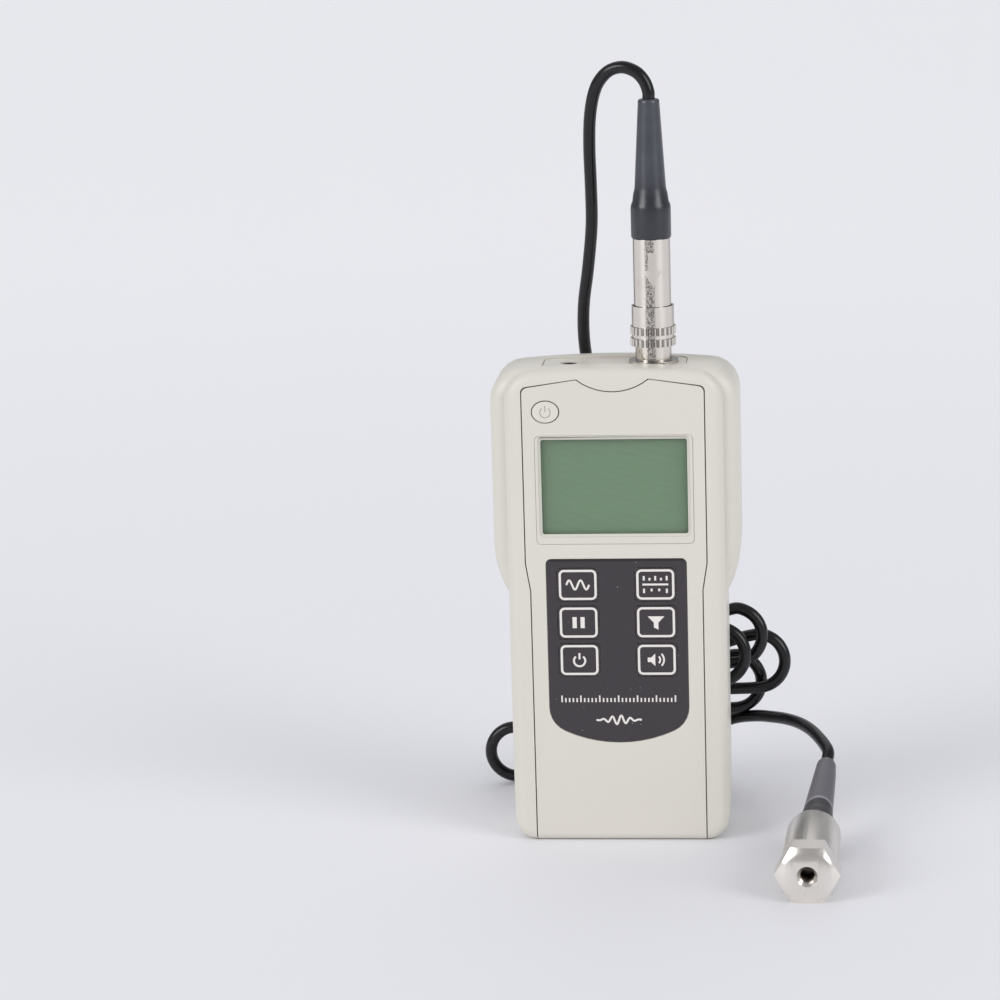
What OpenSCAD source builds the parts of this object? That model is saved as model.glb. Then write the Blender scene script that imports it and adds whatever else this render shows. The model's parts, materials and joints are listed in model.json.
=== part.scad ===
// Handheld vibration meter with its sensor on a lead, in millimetres.
// X runs to the right, Y runs from the front face to the back, Z runs up.
// The origin is the middle of the lower end of the case, on which the meter stands.

/* [Case] */
// Height of the case at its middle
case_h = 128; // [122:1:140]
// Width of the wide upper part
case_w = 65; // [62:0.5:74]
// Width of the narrower grip
grip_w = 57.2; // [55.4:0.2:60]
// Thickness of the case from front to back
case_t = 27; // [26.5:0.5:32]
// Wall thickness of the case
case_wall = 2.2; // [1.8:0.1:2.4]
// Height at which the wide part begins
waist_z = 66.4; // [62:0.2:72]
// Radius of the swell between the grip and the wide part
swell_r = 27.5; // [20:0.5:40]
// Distance from the front face back to the front of the wide part
swell_setback = 2.6; // [1.5:0.1:3.5]
// Rounding of the long edges of the grip
grip_edge_r = 2.4; // [1.4:0.1:2.6]
// Rounding of the long edges of the wide part
swell_edge_r = 3.6; // [2:0.1:4.4]
// Radius of the lower corners
foot_r = 6; // [4:0.5:8]
// Radius of the upper corners
shoulder_r = 8; // [6:0.5:9]
// Rise of the top face from its ends to its middle
crown = 1.8; // [0.5:0.1:2.4]

/* [Front panel] */
// Width of the front panel on each side of the bezel
panel_margin = 3.1; // [2.6:0.1:3.6]
// Width of the front panel along the grip
panel_lower_w = 45; // [43:0.2:45.6]
// Thickness of the front panel
panel_t = 2; // [1.8:0.1:2.4]
// Groove between the front panel and the case
panel_gap = 0.3; // [0.2:0.05:0.6]
// Height at which the front panel begins to widen
panel_kink_z = 68.6; // [64:0.2:70]
// Height over which the front panel widens
panel_kink_h = 7.4; // [4:0.2:9]
// Distance from the top of the case to the upper corners of the front panel
panel_drop = 5; // [4.5:0.1:5.5]
// Radius of the upper corners of the front panel
panel_corner_r = 1.6; // [0.8:0.1:2.4]
// Width of the scoop in the upper edge of the front panel
scoop_w = 19; // [14:0.5:24]
// Depth of the scoop
scoop_depth = 3.3; // [2:0.1:3.8]
// Rise of the upper edge from the corners to the scoop
scoop_rise = 1.9; // [0.5:0.1:2]

/* [Display] */
// Width of the display window
window_w = 38.2; // [34:0.2:39]
// Height of the display window
window_h = 25.2; // [20:0.2:26]
// Distance from the top of the case to the middle of the window
window_drop = 31.5; // [30.5:0.5:32]
// Thickness of the clear window
window_t = 1; // [0.8:0.1:1.2]
// Width of the soft bezel beside the window
bezel_side = 1.5; // [1.2:0.1:2]
// Width of the soft bezel above the window
bezel_top = 1.1; // [1:0.1:1.6]
// Width of the soft bezel below the window
bezel_sill = 2.6; // [1.4:0.1:2.8]
// Thickness of the display glass
glass_t = 1.8; // [1.2:0.1:2]

/* [Keypad] */
// Width of the keypad overlay
overlay_w = 36.8; // [35:0.2:39]
// Distance from the bezel down to the overlay
overlay_gap = 4.1; // [3.4:0.1:5]
// Height of the overlay
overlay_h = 49.8; // [46:0.2:54]
// Thickness of the overlay
overlay_t = 0.4; // [0.3:0.05:0.6]
// Width of a key
key_w = 10.8; // [8:0.2:12]
// Height of a key
key_h = 8.9; // [7:0.1:9.4]
// Distance between the two columns of keys
key_pitch_x = 20.4; // [18:0.2:22]
// Distance between the rows of keys
key_pitch_z = 10.2; // [9.8:0.1:10.6]
// Distance from the upper edge of the overlay to the middle of the first row
key_drop = 6.9; // [6:0.1:7.4]
// Travel of a key
key_travel = 0.35; // [0.2:0.05:0.5]

/* [Power button] */
// Width of the oval power button
button_w = 6.9; // [5:0.1:7.4]
// Height of the oval power button
button_h = 5.6; // [4:0.1:5.8]
// Distance of the button from the side of the front panel
button_inset = 6.1; // [5.8:0.1:7]
// Distance of the button below the top of the case
button_drop = 11.4; // [11.2:0.1:11.8]
// Height of the button above the front panel
button_proud = 0.3; // [0.1:0.1:0.8]
// Travel of the power button
button_travel = 0.5; // [0.3:0.1:0.6]

/* [Connectors] */
// Distance of the sensor socket from the middle of the case
socket_x = 10.2; // [9:0.1:11]
// Distance of the jack from the middle of the case
jack_x = 12; // [10:0.1:13]
// Length of the connector plate
plate_w = 37.6; // [36:0.2:40]
// Width of the connector plate
plate_d = 13.6; // [13.4:0.1:14.4]
// Thickness of the connector plate
plate_t = 1.4; // [1:0.1:1.8]
// Radius of the jack hole
jack_bore_r = 1.8; // [1.6:0.05:1.9]
// Radius of the neck of the socket
neck_r = 4.75; // [4.6:0.05:4.8]
// Height of the neck above the connector plate
neck_h = 6.2; // [5.6:0.1:6.3]

/* [Plug] */
// Radius of the plug barrel
barrel_r = 4.9; // [4.8:0.05:5.1]
// Height of the upper end of the barrel above the connector plate
barrel_top = 32.8; // [30:0.1:36]
// Radius of the knurled bands of the collar
knurl_r = 6; // [6:0.1:6.4]
// Radius of the smooth part of the collar
collar_r = 5.55; // [5.45:0.05:5.55]
// Height of the upper end of the collar above the connector plate
collar_top = 15.1; // [14.6:0.1:16]
// Number of notches round a knurled band
knurl_count = 26; // [16:1:40]
// Travel of the collar when it is pulled to release the plug
collar_travel = 2; // [1:0.1:2.2]
// Radius of the thick end of the plug boot
boot_r = 5.25; // [5.2:0.05:5.8]
// Radius of the thin end of the plug boot
boot_tip_r = 2.8; // [2.4:0.1:3.2]
// Height of the upper end of the plug boot above the connector plate
boot_top = 68.9; // [64:0.1:72]

/* [Batteries and door] */
// Number of cells side by side
cell_count = 4; // [3:1:4]
// Radius of a cell
cell_r = 5.25; // [5:0.05:5.3]
// Length of a cell with its button
cell_l = 44.5; // [42:0.1:46]
// Thickness of the battery door
door_t = 1.5; // [1.2:0.1:1.8]
// Distance that the door slides down to come free
door_travel = 4; // [2:0.1:4]
// Overlap of the door on the case round the battery bay
door_lap = 1.6; // [1.2:0.1:1.8]

/* [Board and screws] */
// Thickness of the circuit board
board_t = 1.6; // [1:0.1:1.8]
// Distance from the back of the front panel to the board
board_drop = 3.5; // [3.4:0.1:3.8]
// Width of the circuit board
board_w = 41; // [40.4:0.2:41.4]
// Radius of the shank of a case screw
case_screw_r = 1.05; // [0.9:0.05:1.1]
// Height of the lower case screws
case_screw_z = 4.7; // [4.6:0.1:5]

/* [Sensor] */
// Distance of the sensor to the right of the meter
sensor_x = 49.6; // [46:0.2:56]
// Distance of the face of the sensor in front of the middle of the meter
sensor_front = 65; // [62:0.5:70]
// Length of the sensor without its boot
sensor_l = 35; // [33:0.5:37]
// Radius of the sensor housing
sensor_r = 7.1; // [6.8:0.1:7.2]
// Width across the flats of the hexagonal base
hex_af = 14.5; // [14.2:0.1:16]
// Length of the hexagonal base
hex_l = 8; // [7:0.5:9]
// Radius of the tapping drill of the mounting thread
tap_r = 2.1; // [2:0.05:2.2]
// Depth of the mounting thread
tap_depth = 6; // [5:0.5:6]
// Radius of the mouth of the mounting thread
tap_mouth_r = 2.7; // [2.5:0.1:3.2]

/* [Lead] */
// Diameter of the lead
cord_d = 3.3; // [2.8:0.1:3.4]
// Furthest reach of the wound lead from the middle of the meter
coil_reach = 43; // [42:0.5:46]
// Height of the highest turn end of the wound lead
coil_high = 46.3; // [44:0.1:50]
// Radius of the turn ends
coil_end_r = 7.4; // [6.8:0.1:8]
// Number of half turns in the wound lead
coil_halves = 9; // [5:2:9]
// Shift towards the back with each half turn
coil_step = 2.75; // [2.7:0.05:3]
// Width of the tie round the wound lead
tie_w = 4; // [2:0.5:6]

/* [Hidden] */
$fn = 48;

// Clearance of parts that are fitted together
fit = 0.15;
// Overrun of a cut past the surface that it opens
over = 1;
// Overlap of a cut with the face that it starts from
sliver = 0.01;
// Points on a rounded corner, and slices on a rounded edge
corner_steps = 5;
edge_steps = 3;

// Planes of the case from front to back
front_y = -case_t / 2;
back_y = case_t / 2;
panel_back_y = front_y + panel_t;
board_y = panel_back_y + board_drop;
board_back_y = board_y + board_t;

// Where the grip meets the wide part at the top
split_y = front_y + swell_setback + swell_edge_r;
rim_step = 0.25;
grip_drop = 14;

// Ledge behind the edge of the front panel
ledge_w = 1.2;
ledge_t = 1.4;

// Connector plate: it lies just below the crowned top face
plate_sink = 0.2;
plate_top_z = case_h - crown * pow(plate_w / case_w, 2) - plate_sink;
plate_corner_r = 3;
plate_floor_t = 2;
cavity_top_z = plate_top_z - plate_t - plate_floor_t;

// Display
window_z = case_h - window_drop;
window_corner_r = 0.6;
window_lip = 0.9;
bezel_corner_r = 1.1;
bezel_seam = 0.05;
bezel_proud = 0.2;
bezel_step = 0.7;
bezel_step_t = 0.4;
bezel_w = window_w + 2 * bezel_side;
bezel_h = window_h + bezel_top + bezel_sill;
bezel_z = window_z + (bezel_top - bezel_sill) / 2;
panel_upper_w = bezel_w + 2 * panel_margin;
glass_lip = 0.8;

// Keypad: it hangs below the bezel
overlay_top_z = bezel_z - bezel_h / 2 - overlay_gap;
overlay_low_z = overlay_top_z - overlay_h;
overlay_corner_r = 1.3;
overlay_shoulder_r = 7;
overlay_bow_r = 34;
key_corner_r = 1.2;
stem_w = 5;
stem_h = 4.4;
dome_r = 2.6;
dome_t = 0.3;

// Power button
button_x = panel_upper_w / 2 - button_inset;
button_z = case_h - button_drop;
button_gap = 0.25;
button_flange = 0.5;
button_flange_t = 0.8;
switch_size = 5.2;
switch_t = 1.2;
stem_r = 1.2;

// Screws
screw_head_r = 2;
screw_head_t = 1.4;
screw_seat = 3.6;
case_boss_r = 2.5;
panel_boss_r = 1.75;
boss_gap = 0.2;
screw_tip = 1.6;
case_screw_x = 18;
upper_screw_x = button_x + 3.6;
upper_screw_drop = button_drop - 4.4;
screw_split_y = board_back_y + boss_gap;
screw_places = [
    [case_screw_x, case_screw_z], [-case_screw_x, case_screw_z],
    [upper_screw_x, case_h - upper_screw_drop], [-upper_screw_x, case_h - upper_screw_drop],
];
board_screw_r = 0.8;
board_head_r = 1.6;
board_head_t = 1.1;
board_post_r = 1.7;
board_screw_x = 18.5;
board_z0 = 8.4;
board_z1 = button_z + switch_size / 2 - fit;
board_places = [
    [board_screw_x, board_z0 + 4], [-board_screw_x, board_z0 + 4],
    [board_screw_x, bezel_z - bezel_h / 2 - board_post_r - 0.8],
    [-board_screw_x, bezel_z - bezel_h / 2 - board_post_r - 0.8],
];

// Battery bay, from the bottom up: wall, contact, spring, cell, contact, wall
bay_wall = 1.2;
cell_pitch = 2 * cell_r + 0.5;
contact_t = 0.4;
spring_l = 3.2;
bay_w = cell_count * cell_pitch + 2 * fit;
bay_z0 = case_screw_z + case_boss_r + 0.3;
bay_z1 = bay_z0 + cell_l + spring_l + 2 * contact_t + 2 * fit;
bay_back_y = back_y - door_t;
cell_y = bay_back_y - cell_r - 0.8;
bay_y = cell_y - cell_r - fit;
door_w = bay_w + 2 * door_lap;
door_z0 = bay_z0 - door_lap;
door_z1 = bay_z1 + door_lap;
door_corner_r = 1.5;
door_gap = 0.2;
door_lip_t = 0.5;
door_lip_gap = 0.3;
grip_ribs = 4;
grip_rib_w = 16;
grip_rib_pitch = 1.8;
grip_rib_t = 0.9;
grip_rib_depth = 0.4;
cap_r = 1.9;
cap_h = 1;

// Socket and plug, in heights above the connector plate
ring_r = 6.5;
ring_h = 0.8;
socket_depth = 12.5;
socket_bore_r = 4.1;
socket_floor_t = 1.2;
nut_af = 12.6;
nut_t = 2;
insert_r = 3.2;
pin_r = 0.45;
pin_ring_r = 1.7;
pin_count = 4;
nose_r = 3.9;
nose_bore_r = 3.3;
nose_depth = 6;
shell_r = 4.45;
barrel_low = neck_h + 0.4;
barrel_step = 13;
collar_low = 4.6;
collar_bore_r = barrel_r + fit;
collar_lip_r = 4.6;
collar_lip_low = neck_h + 0.4;
collar_lip_t = 0.9;
band_h = 2.05;
band_gap = 1;
knurl_depth = 0.4;
boot_band_h = 9.3;
boot_shoulder_h = 3.1;
boot_neck_r = 4.15;
tail_r = 3;
tail_h = 6;

// Jack
jack_ring_r = 2.2;
jack_sink = 0.4;
jack_body_w = 8;
jack_body_d = 7;
jack_body_h = 11;

// Sensor
sensor_z = hex_af / 2;
sensor_edge_r = 1.6;
hex_chamfer = 1.5;
sensor_turn = 2.5;
housing_bore_r = 5.8;
housing_end_t = 2.2;
spigot_l = 2;
spigot_r = housing_bore_r - fit;
crystal_r = 4.4;
crystal_t = 2.6;
crystal_bore_r = 1.7;
mass_r = 4.8;
mass_l = 8;
stud_r = 1.5;
stud_head_r = 2.8;
stud_head_t = 2;

// Lead: its route in points chosen along it, upper stretch first
cord_sides = 8;
coil_sides = 6;
cord_r = cord_d / 2;
plug_boot_end = plate_top_z + boot_top;
coil_y0 = 16.1;
coil_start = [4, 41];
coil_finish = [6, 8];
coil_waist = 3;
arc_rings = 8;
run_rings = 4;
arc_span_share = 0.6;
reach_shares = [0.56, 0.755, 0.535, 0.86, 0.56, 1, 0.56, 0.845, 0.93];
height_shares = [0.67, 0.914, 0.583, 1, 0.497, 0.812, 0.389, 0.654, 0.2];
tie_x = -8;
tie_t = 0.5;
upper_route = [
    [9.2, 0.3, 200.6], [7, 0.8, 203], [3.4, 1.8, 204.2], [-0.4, 3, 203],
    [-3.6, 4.6, 199], [-5.4, 6.4, 192], [-6, 8.4, 183], [-6, 10.6, 173],
    [-6.2, 13, 162], [-7.6, 15.6, 150], [-9.2, 17.6, 139], [-9.2, 19, 128],
    [-7.2, 19.4, 118], [-2.8, 18.8, 106], [3, 17.8, 94], [8.6, 16.9, 82],
    [12.8, 16.4, 71], [15.2, 16.2, 61], [15.4, 16.1, 52.6], [12.8, 16.1, 45.4],
];
lower_route = [
    [15.4, 40.8, 10.6], [21.4, 40.6, 15.2], [28.2, 38.6, 19], [34.6, 34.6, 20.9], [39.6, 29.5, 22],
    [43.5, 24.5, 22.8], [47.1, 19, 23.2], [50, 13.5, 23], [52.1, 8.5, 22.4], [53.8, 3.8, 21.6],
];
boot_route = [[51.9, -21, 9.1], [52.9, -14.5, 12.7], [53.9, -8, 16.3]];
sensor_boot_end = [54.5, -3, 19];
sensor_boot_r = 5.3;
sensor_boot_tip_r = 2.6;

// Shapes that repeat

function unit(v) = v / norm(v);

// Points of an arc from angle a0 to angle a1
function arc(x, z, r, a0, a1, n = corner_steps) =
    [for (i = [0:n]) let (a = a0 + (a1 - a0) * i / n) [x + r * cos(a), z + r * sin(a)]];

// Points of a rectangle with round corners
function round_rect(w, h, r) = concat(
    arc(w / 2 - r, h / 2 - r, r, 0, 90), arc(-w / 2 + r, h / 2 - r, r, 90, 180),
    arc(-w / 2 + r, -h / 2 + r, r, 180, 270), arc(w / 2 - r, -h / 2 + r, r, 270, 360));

// Points of an ellipse
function ellipse(w, h, n = 40) = [for (i = [0:n - 1]) [w / 2 * cos(360 * i / n), h / 2 * sin(360 * i / n)]];

// The left half of an outline is the right half seen in a mirror
function mirrored(points) = [for (i = [len(points) - 1:-1:0]) [-points[i][0], points[i][1]]];

// A plate drawn in X and Z, from one place in Y and of a given thickness
module y_plate(y, t) {
    translate([0, y + t, 0]) rotate([90, 0, 0]) linear_extrude(t) children();
}

// A round bar along Y
module y_rod(x, y, z, length, r) {
    translate([x, y, z]) rotate([-90, 0, 0]) cylinder(h = length, r = r);
}

// A rectangular plate along Y, given by its middle, size and corner radius
module y_pad(x, z, w, h, r, y, t) {
    translate([x, 0, z]) y_plate(y, t) polygon(round_rect(w, h, r));
}

// Outline of the case, drawn in from its sides by an inset

function crown_z(x) = case_h - crown * pow(2 * x / case_w, 2);

function top_edge(half, inset, drop) = let (cx = half - shoulder_r, cz = crown_z(cx) - drop - shoulder_r) concat(
    arc(cx, cz, shoulder_r - inset, 0, 90),
    [for (k = [1:2 * corner_steps - 1]) let (x = cx * (1 - k / corner_steps)) [x, crown_z(x) - drop - inset]],
    arc(-cx, cz, shoulder_r - inset, 90, 180));

function grip_outline(inset, drop) = concat(
    top_edge(grip_w / 2, inset, drop),
    arc(-grip_w / 2 + foot_r, foot_r, foot_r - inset, 180, 270),
    arc(grip_w / 2 - foot_r, foot_r, foot_r - inset, 270, 360));

swell_step = (case_w - grip_w) / 2;
swell_h = sqrt(pow(swell_r, 2) - pow(swell_r - swell_step, 2));

// The swell starts a little way inside the grip
swell_a = asin(swell_h / swell_r) + 3;

function swell_outline(inset) =
    let (side = arc(case_w / 2 - swell_r, waist_z + swell_h, swell_r - inset, -swell_a, 0))
    concat(side, top_edge(case_w / 2, inset, 0), mirrored(side));

// Two slabs with rounded long edges, one over the other: each is drawn over plates of its outline.
// Behind the split, the grip drops away inside the wide part.
function edge_inset(r, k) = r * (1 - sin(90 * k / edge_steps));
function edge_depth(r, k) = r * (1 - cos(90 * k / edge_steps));

module grip_slab() {
    hull() for (k = [0:edge_steps]) {
        inset = edge_inset(grip_edge_r, k);
        depth = edge_depth(grip_edge_r, k);
        y_plate(front_y + depth, split_y - front_y - depth) polygon(grip_outline(inset, rim_step));
        y_plate(split_y, back_y - split_y - depth) polygon(grip_outline(inset, grip_drop));
    }
}

module swell_slab() {
    y0 = front_y + swell_setback;
    hull() for (k = [0:edge_steps]) {
        depth = edge_depth(swell_edge_r, k);
        y_plate(y0 + depth, back_y - y0 - 2 * depth) polygon(swell_outline(edge_inset(swell_edge_r, k)));
    }
}

// Outline of the front panel, drawn out by an offset, with its lower end at z0

function panel_outline(offset, z0) =
    let (
        upper = panel_upper_w / 2 + offset,
        lower = panel_lower_w / 2 + offset,
        top = case_h - panel_drop + offset,
        scoop_r = (pow(scoop_w / 2, 2) + pow(scoop_depth, 2)) / (2 * scoop_depth),
        scoop_a = asin(scoop_w / 2 / scoop_r),
        scoop_z = case_h - panel_drop + scoop_rise - scoop_depth + scoop_r,
        side = concat(
            [[lower, z0], [lower, panel_kink_z], [upper, panel_kink_z + panel_kink_h]],
            arc(upper - panel_corner_r, top - panel_corner_r, panel_corner_r, 0, 80)),
        scoop = arc(0, scoop_z, scoop_r - offset, scoop_a - 90, -scoop_a - 90, 2 * corner_steps))
    concat(side, scoop, mirrored(side));

// Outline of the keypad overlay, drawn out by an offset

function overlay_outline(offset) =
    let (
        half = overlay_w / 2,
        bow_z = overlay_low_z + overlay_bow_r,
        cx = half - overlay_shoulder_r,
        lean = asin(cx / (overlay_bow_r - overlay_shoulder_r)),
        cz = bow_z - (overlay_bow_r - overlay_shoulder_r) * cos(lean),
        bow = arc(0, bow_z, overlay_bow_r + offset, -90 - lean, -90 + lean, 2 * corner_steps),
        shoulder = arc(cx, cz, overlay_shoulder_r + offset, -90 + lean, 0),
        corner = arc(half - overlay_corner_r, overlay_top_z - overlay_corner_r, overlay_corner_r + offset, 0, 90),
        side = concat(shoulder, corner))
    concat([for (i = [1:len(bow) - 2]) bow[i]], side, mirrored(side));

function key_place(column, row) =
    [column * key_pitch_x / 2, overlay_top_z - key_drop - row * key_pitch_z];
key_places = [for (column = [-1, 1], row = [0:2]) key_place(column, row)];

// Housing

module case_outer() {
    grip_slab();
    swell_slab();
}

module case_cavity() {
    grip_front = panel_back_y + ledge_t;
    swell_front = front_y + swell_setback + case_wall;
    cavity_back = back_y - case_wall;
    intersection() {
        union() {
            y_plate(grip_front, cavity_back - grip_front) polygon(grip_outline(case_wall, rim_step));
            y_plate(swell_front, cavity_back - swell_front) polygon(swell_outline(case_wall));
        }
        translate([-case_w, -case_t, 0]) cube([2 * case_w, 2 * case_t, cavity_top_z]);
    }
}

module battery_bay_walls() {
    outer_w = bay_w + 2 * bay_wall;
    translate([-outer_w / 2, bay_y - bay_wall, bay_z0 - bay_wall])
        cube([outer_w, back_y - case_wall / 2 - bay_y + bay_wall, bay_z1 - bay_z0 + 2 * bay_wall]);
}

module case_body() {
    recess_z0 = door_z0 - door_travel - door_gap;
    recess_h = door_z1 + door_gap - recess_z0;
    recess_w = door_w + 2 * door_gap;
    color([0.87, 0.86, 0.83]) difference() {
        union() {
            difference() {
                case_outer();
                case_cavity();
            }
            battery_bay_walls();
            for (p = screw_places)
                y_rod(p[0], screw_split_y, p[1], back_y - case_wall / 2 - screw_split_y, case_boss_r);
        }
        y_plate(front_y - over, panel_t + over) polygon(panel_outline(panel_gap, -over));
        y_plate(front_y - over, panel_t + ledge_t + 2 * over) polygon(panel_outline(-ledge_w, case_wall));
        translate([-bay_w / 2, bay_y, bay_z0]) cube([bay_w, case_t, bay_z1 - bay_z0]);
        y_pad(0, recess_z0 + recess_h / 2, recess_w, recess_h, door_corner_r, bay_back_y, door_t + over);
        connector_recess();
        translate([socket_x, 0, cavity_top_z - over]) cylinder(h = case_t, r = neck_r + fit);
        translate([-jack_x, 0, cavity_top_z - over]) cylinder(h = case_t, r = jack_ring_r + fit);
        for (p = screw_places) {
            y_rod(p[0], front_y, p[1], screw_split_y - front_y, panel_boss_r + fit);
            y_rod(p[0], front_y, p[1], 2 * case_t, case_screw_r + fit);
            y_rod(p[0], back_y - screw_seat, p[1], screw_seat + over, screw_head_r + fit);
        }
    }
}

module connector_recess() {
    translate([0, 0, plate_top_z - plate_t]) linear_extrude(case_t)
        polygon(round_rect(plate_w + 2 * fit, plate_d + 2 * fit, plate_corner_r));
}

module connector_plate() {
    color([0.85, 0.84, 0.81]) translate([0, 0, plate_top_z - plate_t]) difference() {
        linear_extrude(plate_t) polygon(round_rect(plate_w, plate_d, plate_corner_r));
        translate([socket_x, 0, -over]) cylinder(h = plate_t + 2 * over, r = neck_r + fit);
        translate([-jack_x, 0, -over]) cylinder(h = plate_t + 2 * over, r = jack_ring_r + fit);
    }
}

module front_panel() {
    color([0.89, 0.88, 0.85]) {
        difference() {
            union() {
                intersection() {
                    grip_slab();
                    y_plate(front_y, panel_t) polygon(panel_outline(0, 0));
                }
                for (p = board_places) y_rod(p[0], panel_back_y - fit, p[1], board_drop + fit, board_post_r);
                for (p = screw_places)
                    y_rod(p[0], panel_back_y - fit, p[1], screw_split_y - boss_gap - panel_back_y + fit, panel_boss_r);
            }
            y_pad(0, bezel_z, bezel_w + 2 * bezel_seam, bezel_h + 2 * bezel_seam, bezel_corner_r + bezel_seam,
                front_y - over, panel_t + 2 * over);
            y_plate(front_y - over, overlay_t + over) polygon(overlay_outline(fit));
            for (p = key_places) {
                y_pad(p[0], p[1], key_w + 2 * fit, key_h + 2 * fit, key_corner_r,
                    front_y - over, overlay_t + key_travel + fit + over);
                y_pad(p[0], p[1], stem_w + 2 * fit, stem_h + 2 * fit, key_corner_r / 2, front_y - over, panel_t + 2 * over);
            }
            translate([-button_x, 0, button_z]) y_plate(front_y - over, panel_t + 2 * over)
                polygon(ellipse(button_w + 2 * button_gap, button_h + 2 * button_gap));
            for (p = board_places) y_rod(p[0], panel_back_y - panel_t / 4, p[1], board_drop + over, board_screw_r + fit);
            for (p = screw_places) y_rod(p[0], panel_back_y - panel_t / 4, p[1], case_t, case_screw_r + fit);
        }
    }
}

module battery_door() {
    lip_w = bay_w - 2 * door_lip_gap;
    lip_z0 = bay_z0 + door_travel + door_lip_gap;
    lip_h = bay_z1 - door_lip_gap - lip_z0;
    height = door_z1 - door_z0;
    color([0.86, 0.85, 0.82]) difference() {
        union() {
            y_pad(0, door_z0 + height / 2, door_w, height, door_corner_r, bay_back_y, door_t);
            translate([-lip_w / 2, bay_back_y - door_lip_t, lip_z0]) cube([lip_w, door_lip_t + fit, lip_h]);
        }
        for (k = [0:grip_ribs - 1])
            translate([-grip_rib_w / 2, back_y - grip_rib_depth, door_z1 - (k + 3) * grip_rib_pitch])
                cube([grip_rib_w, over, grip_rib_t]);
    }
}

// Display

module display_bezel() {
    color([0.83, 0.83, 0.8]) difference() {
        y_pad(0, bezel_z, bezel_w, bezel_h, bezel_corner_r, front_y - bezel_proud, panel_t + bezel_proud);
        y_pad(0, window_z, window_w, window_h, window_corner_r, front_y - over, panel_t + 2 * over);
        y_pad(0, window_z, window_w + 2 * bezel_step, window_h + 2 * bezel_step, bezel_corner_r,
            front_y - over, bezel_step_t + over);
        y_pad(0, window_z, window_w + 2 * window_lip, window_h + 2 * window_lip, window_corner_r,
            panel_back_y - window_t - fit, window_t + fit + over);
    }
}

module display_window() {
    color([0.6, 0.72, 0.62, 0.5])
        y_pad(0, window_z, window_w + 2 * window_lip - fit, window_h + 2 * window_lip - fit, window_corner_r,
            panel_back_y - window_t, window_t);
}

module display_glass() {
    color([0.46, 0.58, 0.46])
        y_pad(0, window_z, window_w + 2 * glass_lip, window_h + 2 * glass_lip, window_corner_r, panel_back_y, glass_t);
}

module display_holder() {
    color("white")
        y_pad(0, window_z, window_w + 2 * glass_lip, window_h + 2 * glass_lip, window_corner_r,
            panel_back_y + glass_t, board_drop - glass_t);
}

// Keypad

module keypad_overlay() {
    color([0.28, 0.27, 0.28]) difference() {
        y_plate(front_y, overlay_t) polygon(overlay_outline(0));
        for (p = key_places)
            y_pad(p[0], p[1], key_w + 2 * fit, key_h + 2 * fit, key_corner_r, front_y - over, overlay_t + 2 * over);
    }
}

module key(column, row) {
    p = key_place(column, row);
    stem_end = board_y - dome_t - key_travel - fit;
    color([0.3, 0.29, 0.3]) {
        y_pad(p[0], p[1], key_w, key_h, key_corner_r, front_y, overlay_t);
        y_pad(p[0], p[1], stem_w, stem_h, key_corner_r / 2, front_y + overlay_t / 2, stem_end - front_y - overlay_t / 2);
    }
}

module key_function() { key(-1, 0); }
module key_hold() { key(-1, 1); }
module key_power() { key(-1, 2); }
module key_units() { key(1, 0); }
module key_filter() { key(1, 1); }
module key_volume() { key(1, 2); }

module key_domes() {
    color("silver") for (p = key_places) y_rod(p[0], board_y - dome_t, p[1], dome_t, dome_r);
}

module power_button() {
    flange_y = panel_back_y + fit;
    stem_end = board_y - switch_t - button_travel - fit;
    color([0.87, 0.86, 0.82]) translate([-button_x, 0, button_z]) {
        y_plate(front_y - button_proud, flange_y + fit - front_y + button_proud) polygon(ellipse(button_w, button_h));
        y_plate(flange_y, button_flange_t)
            polygon(ellipse(button_w + 2 * (button_gap + button_flange), button_h + 2 * (button_gap + button_flange)));
        y_rod(0, flange_y, 0, stem_end - flange_y, stem_r);
    }
}

module power_switch() {
    color([0.15, 0.15, 0.15])
        y_pad(-button_x, button_z, switch_size, switch_size, key_corner_r / 2, board_y - switch_t, switch_t);
}

// Board

module main_board() {
    color([0.12, 0.4, 0.22]) difference() {
        translate([-board_w / 2, board_y, board_z0]) cube([board_w, board_t, board_z1 - board_z0]);
        for (p = board_places) y_rod(p[0], board_y - over, p[1], board_t + 2 * over, board_screw_r + fit);
    }
}

// One flat chip on the back of the board
module chip(x, z, w, h, t) { translate([x - w / 2, board_back_y, z - h / 2]) cube([w, t, h]); }

module board_chips() {
    chip_t = 1.4;
    processor_w = 12;
    amplifier_w = 6;
    amplifier_h = 5;
    row_pitch = 10;
    row_z = bay_z1 + row_pitch;
    color([0.13, 0.13, 0.14]) {
        chip(0, row_z + 2 * row_pitch, processor_w, processor_w, chip_t);
        for (k = [-1:1]) chip(k * row_pitch, row_z, amplifier_w, amplifier_h, chip_t);
    }
    color([0.75, 0.62, 0.3]) for (k = [-1, 1])
        y_rod(k * processor_w, board_back_y, row_z + 2 * row_pitch, 2 * chip_t, chip_t);
}

module board_screws() {
    color("silver") for (p = board_places) {
        y_rod(p[0], board_back_y, p[1], board_head_t, board_head_r);
        y_rod(p[0], panel_back_y + board_drop / 3, p[1], board_back_y - panel_back_y - board_drop / 3 + fit, board_screw_r);
    }
}

module case_screws() {
    head_y = back_y - screw_seat;
    color("silver") for (p = screw_places) {
        y_rod(p[0], head_y, p[1], screw_head_t, screw_head_r);
        y_rod(p[0], panel_back_y + screw_tip, p[1], head_y - panel_back_y - screw_tip + fit, case_screw_r);
    }
}

// Batteries

function cell_x(k) = (k - (cell_count - 1) / 2) * cell_pitch;

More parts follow.
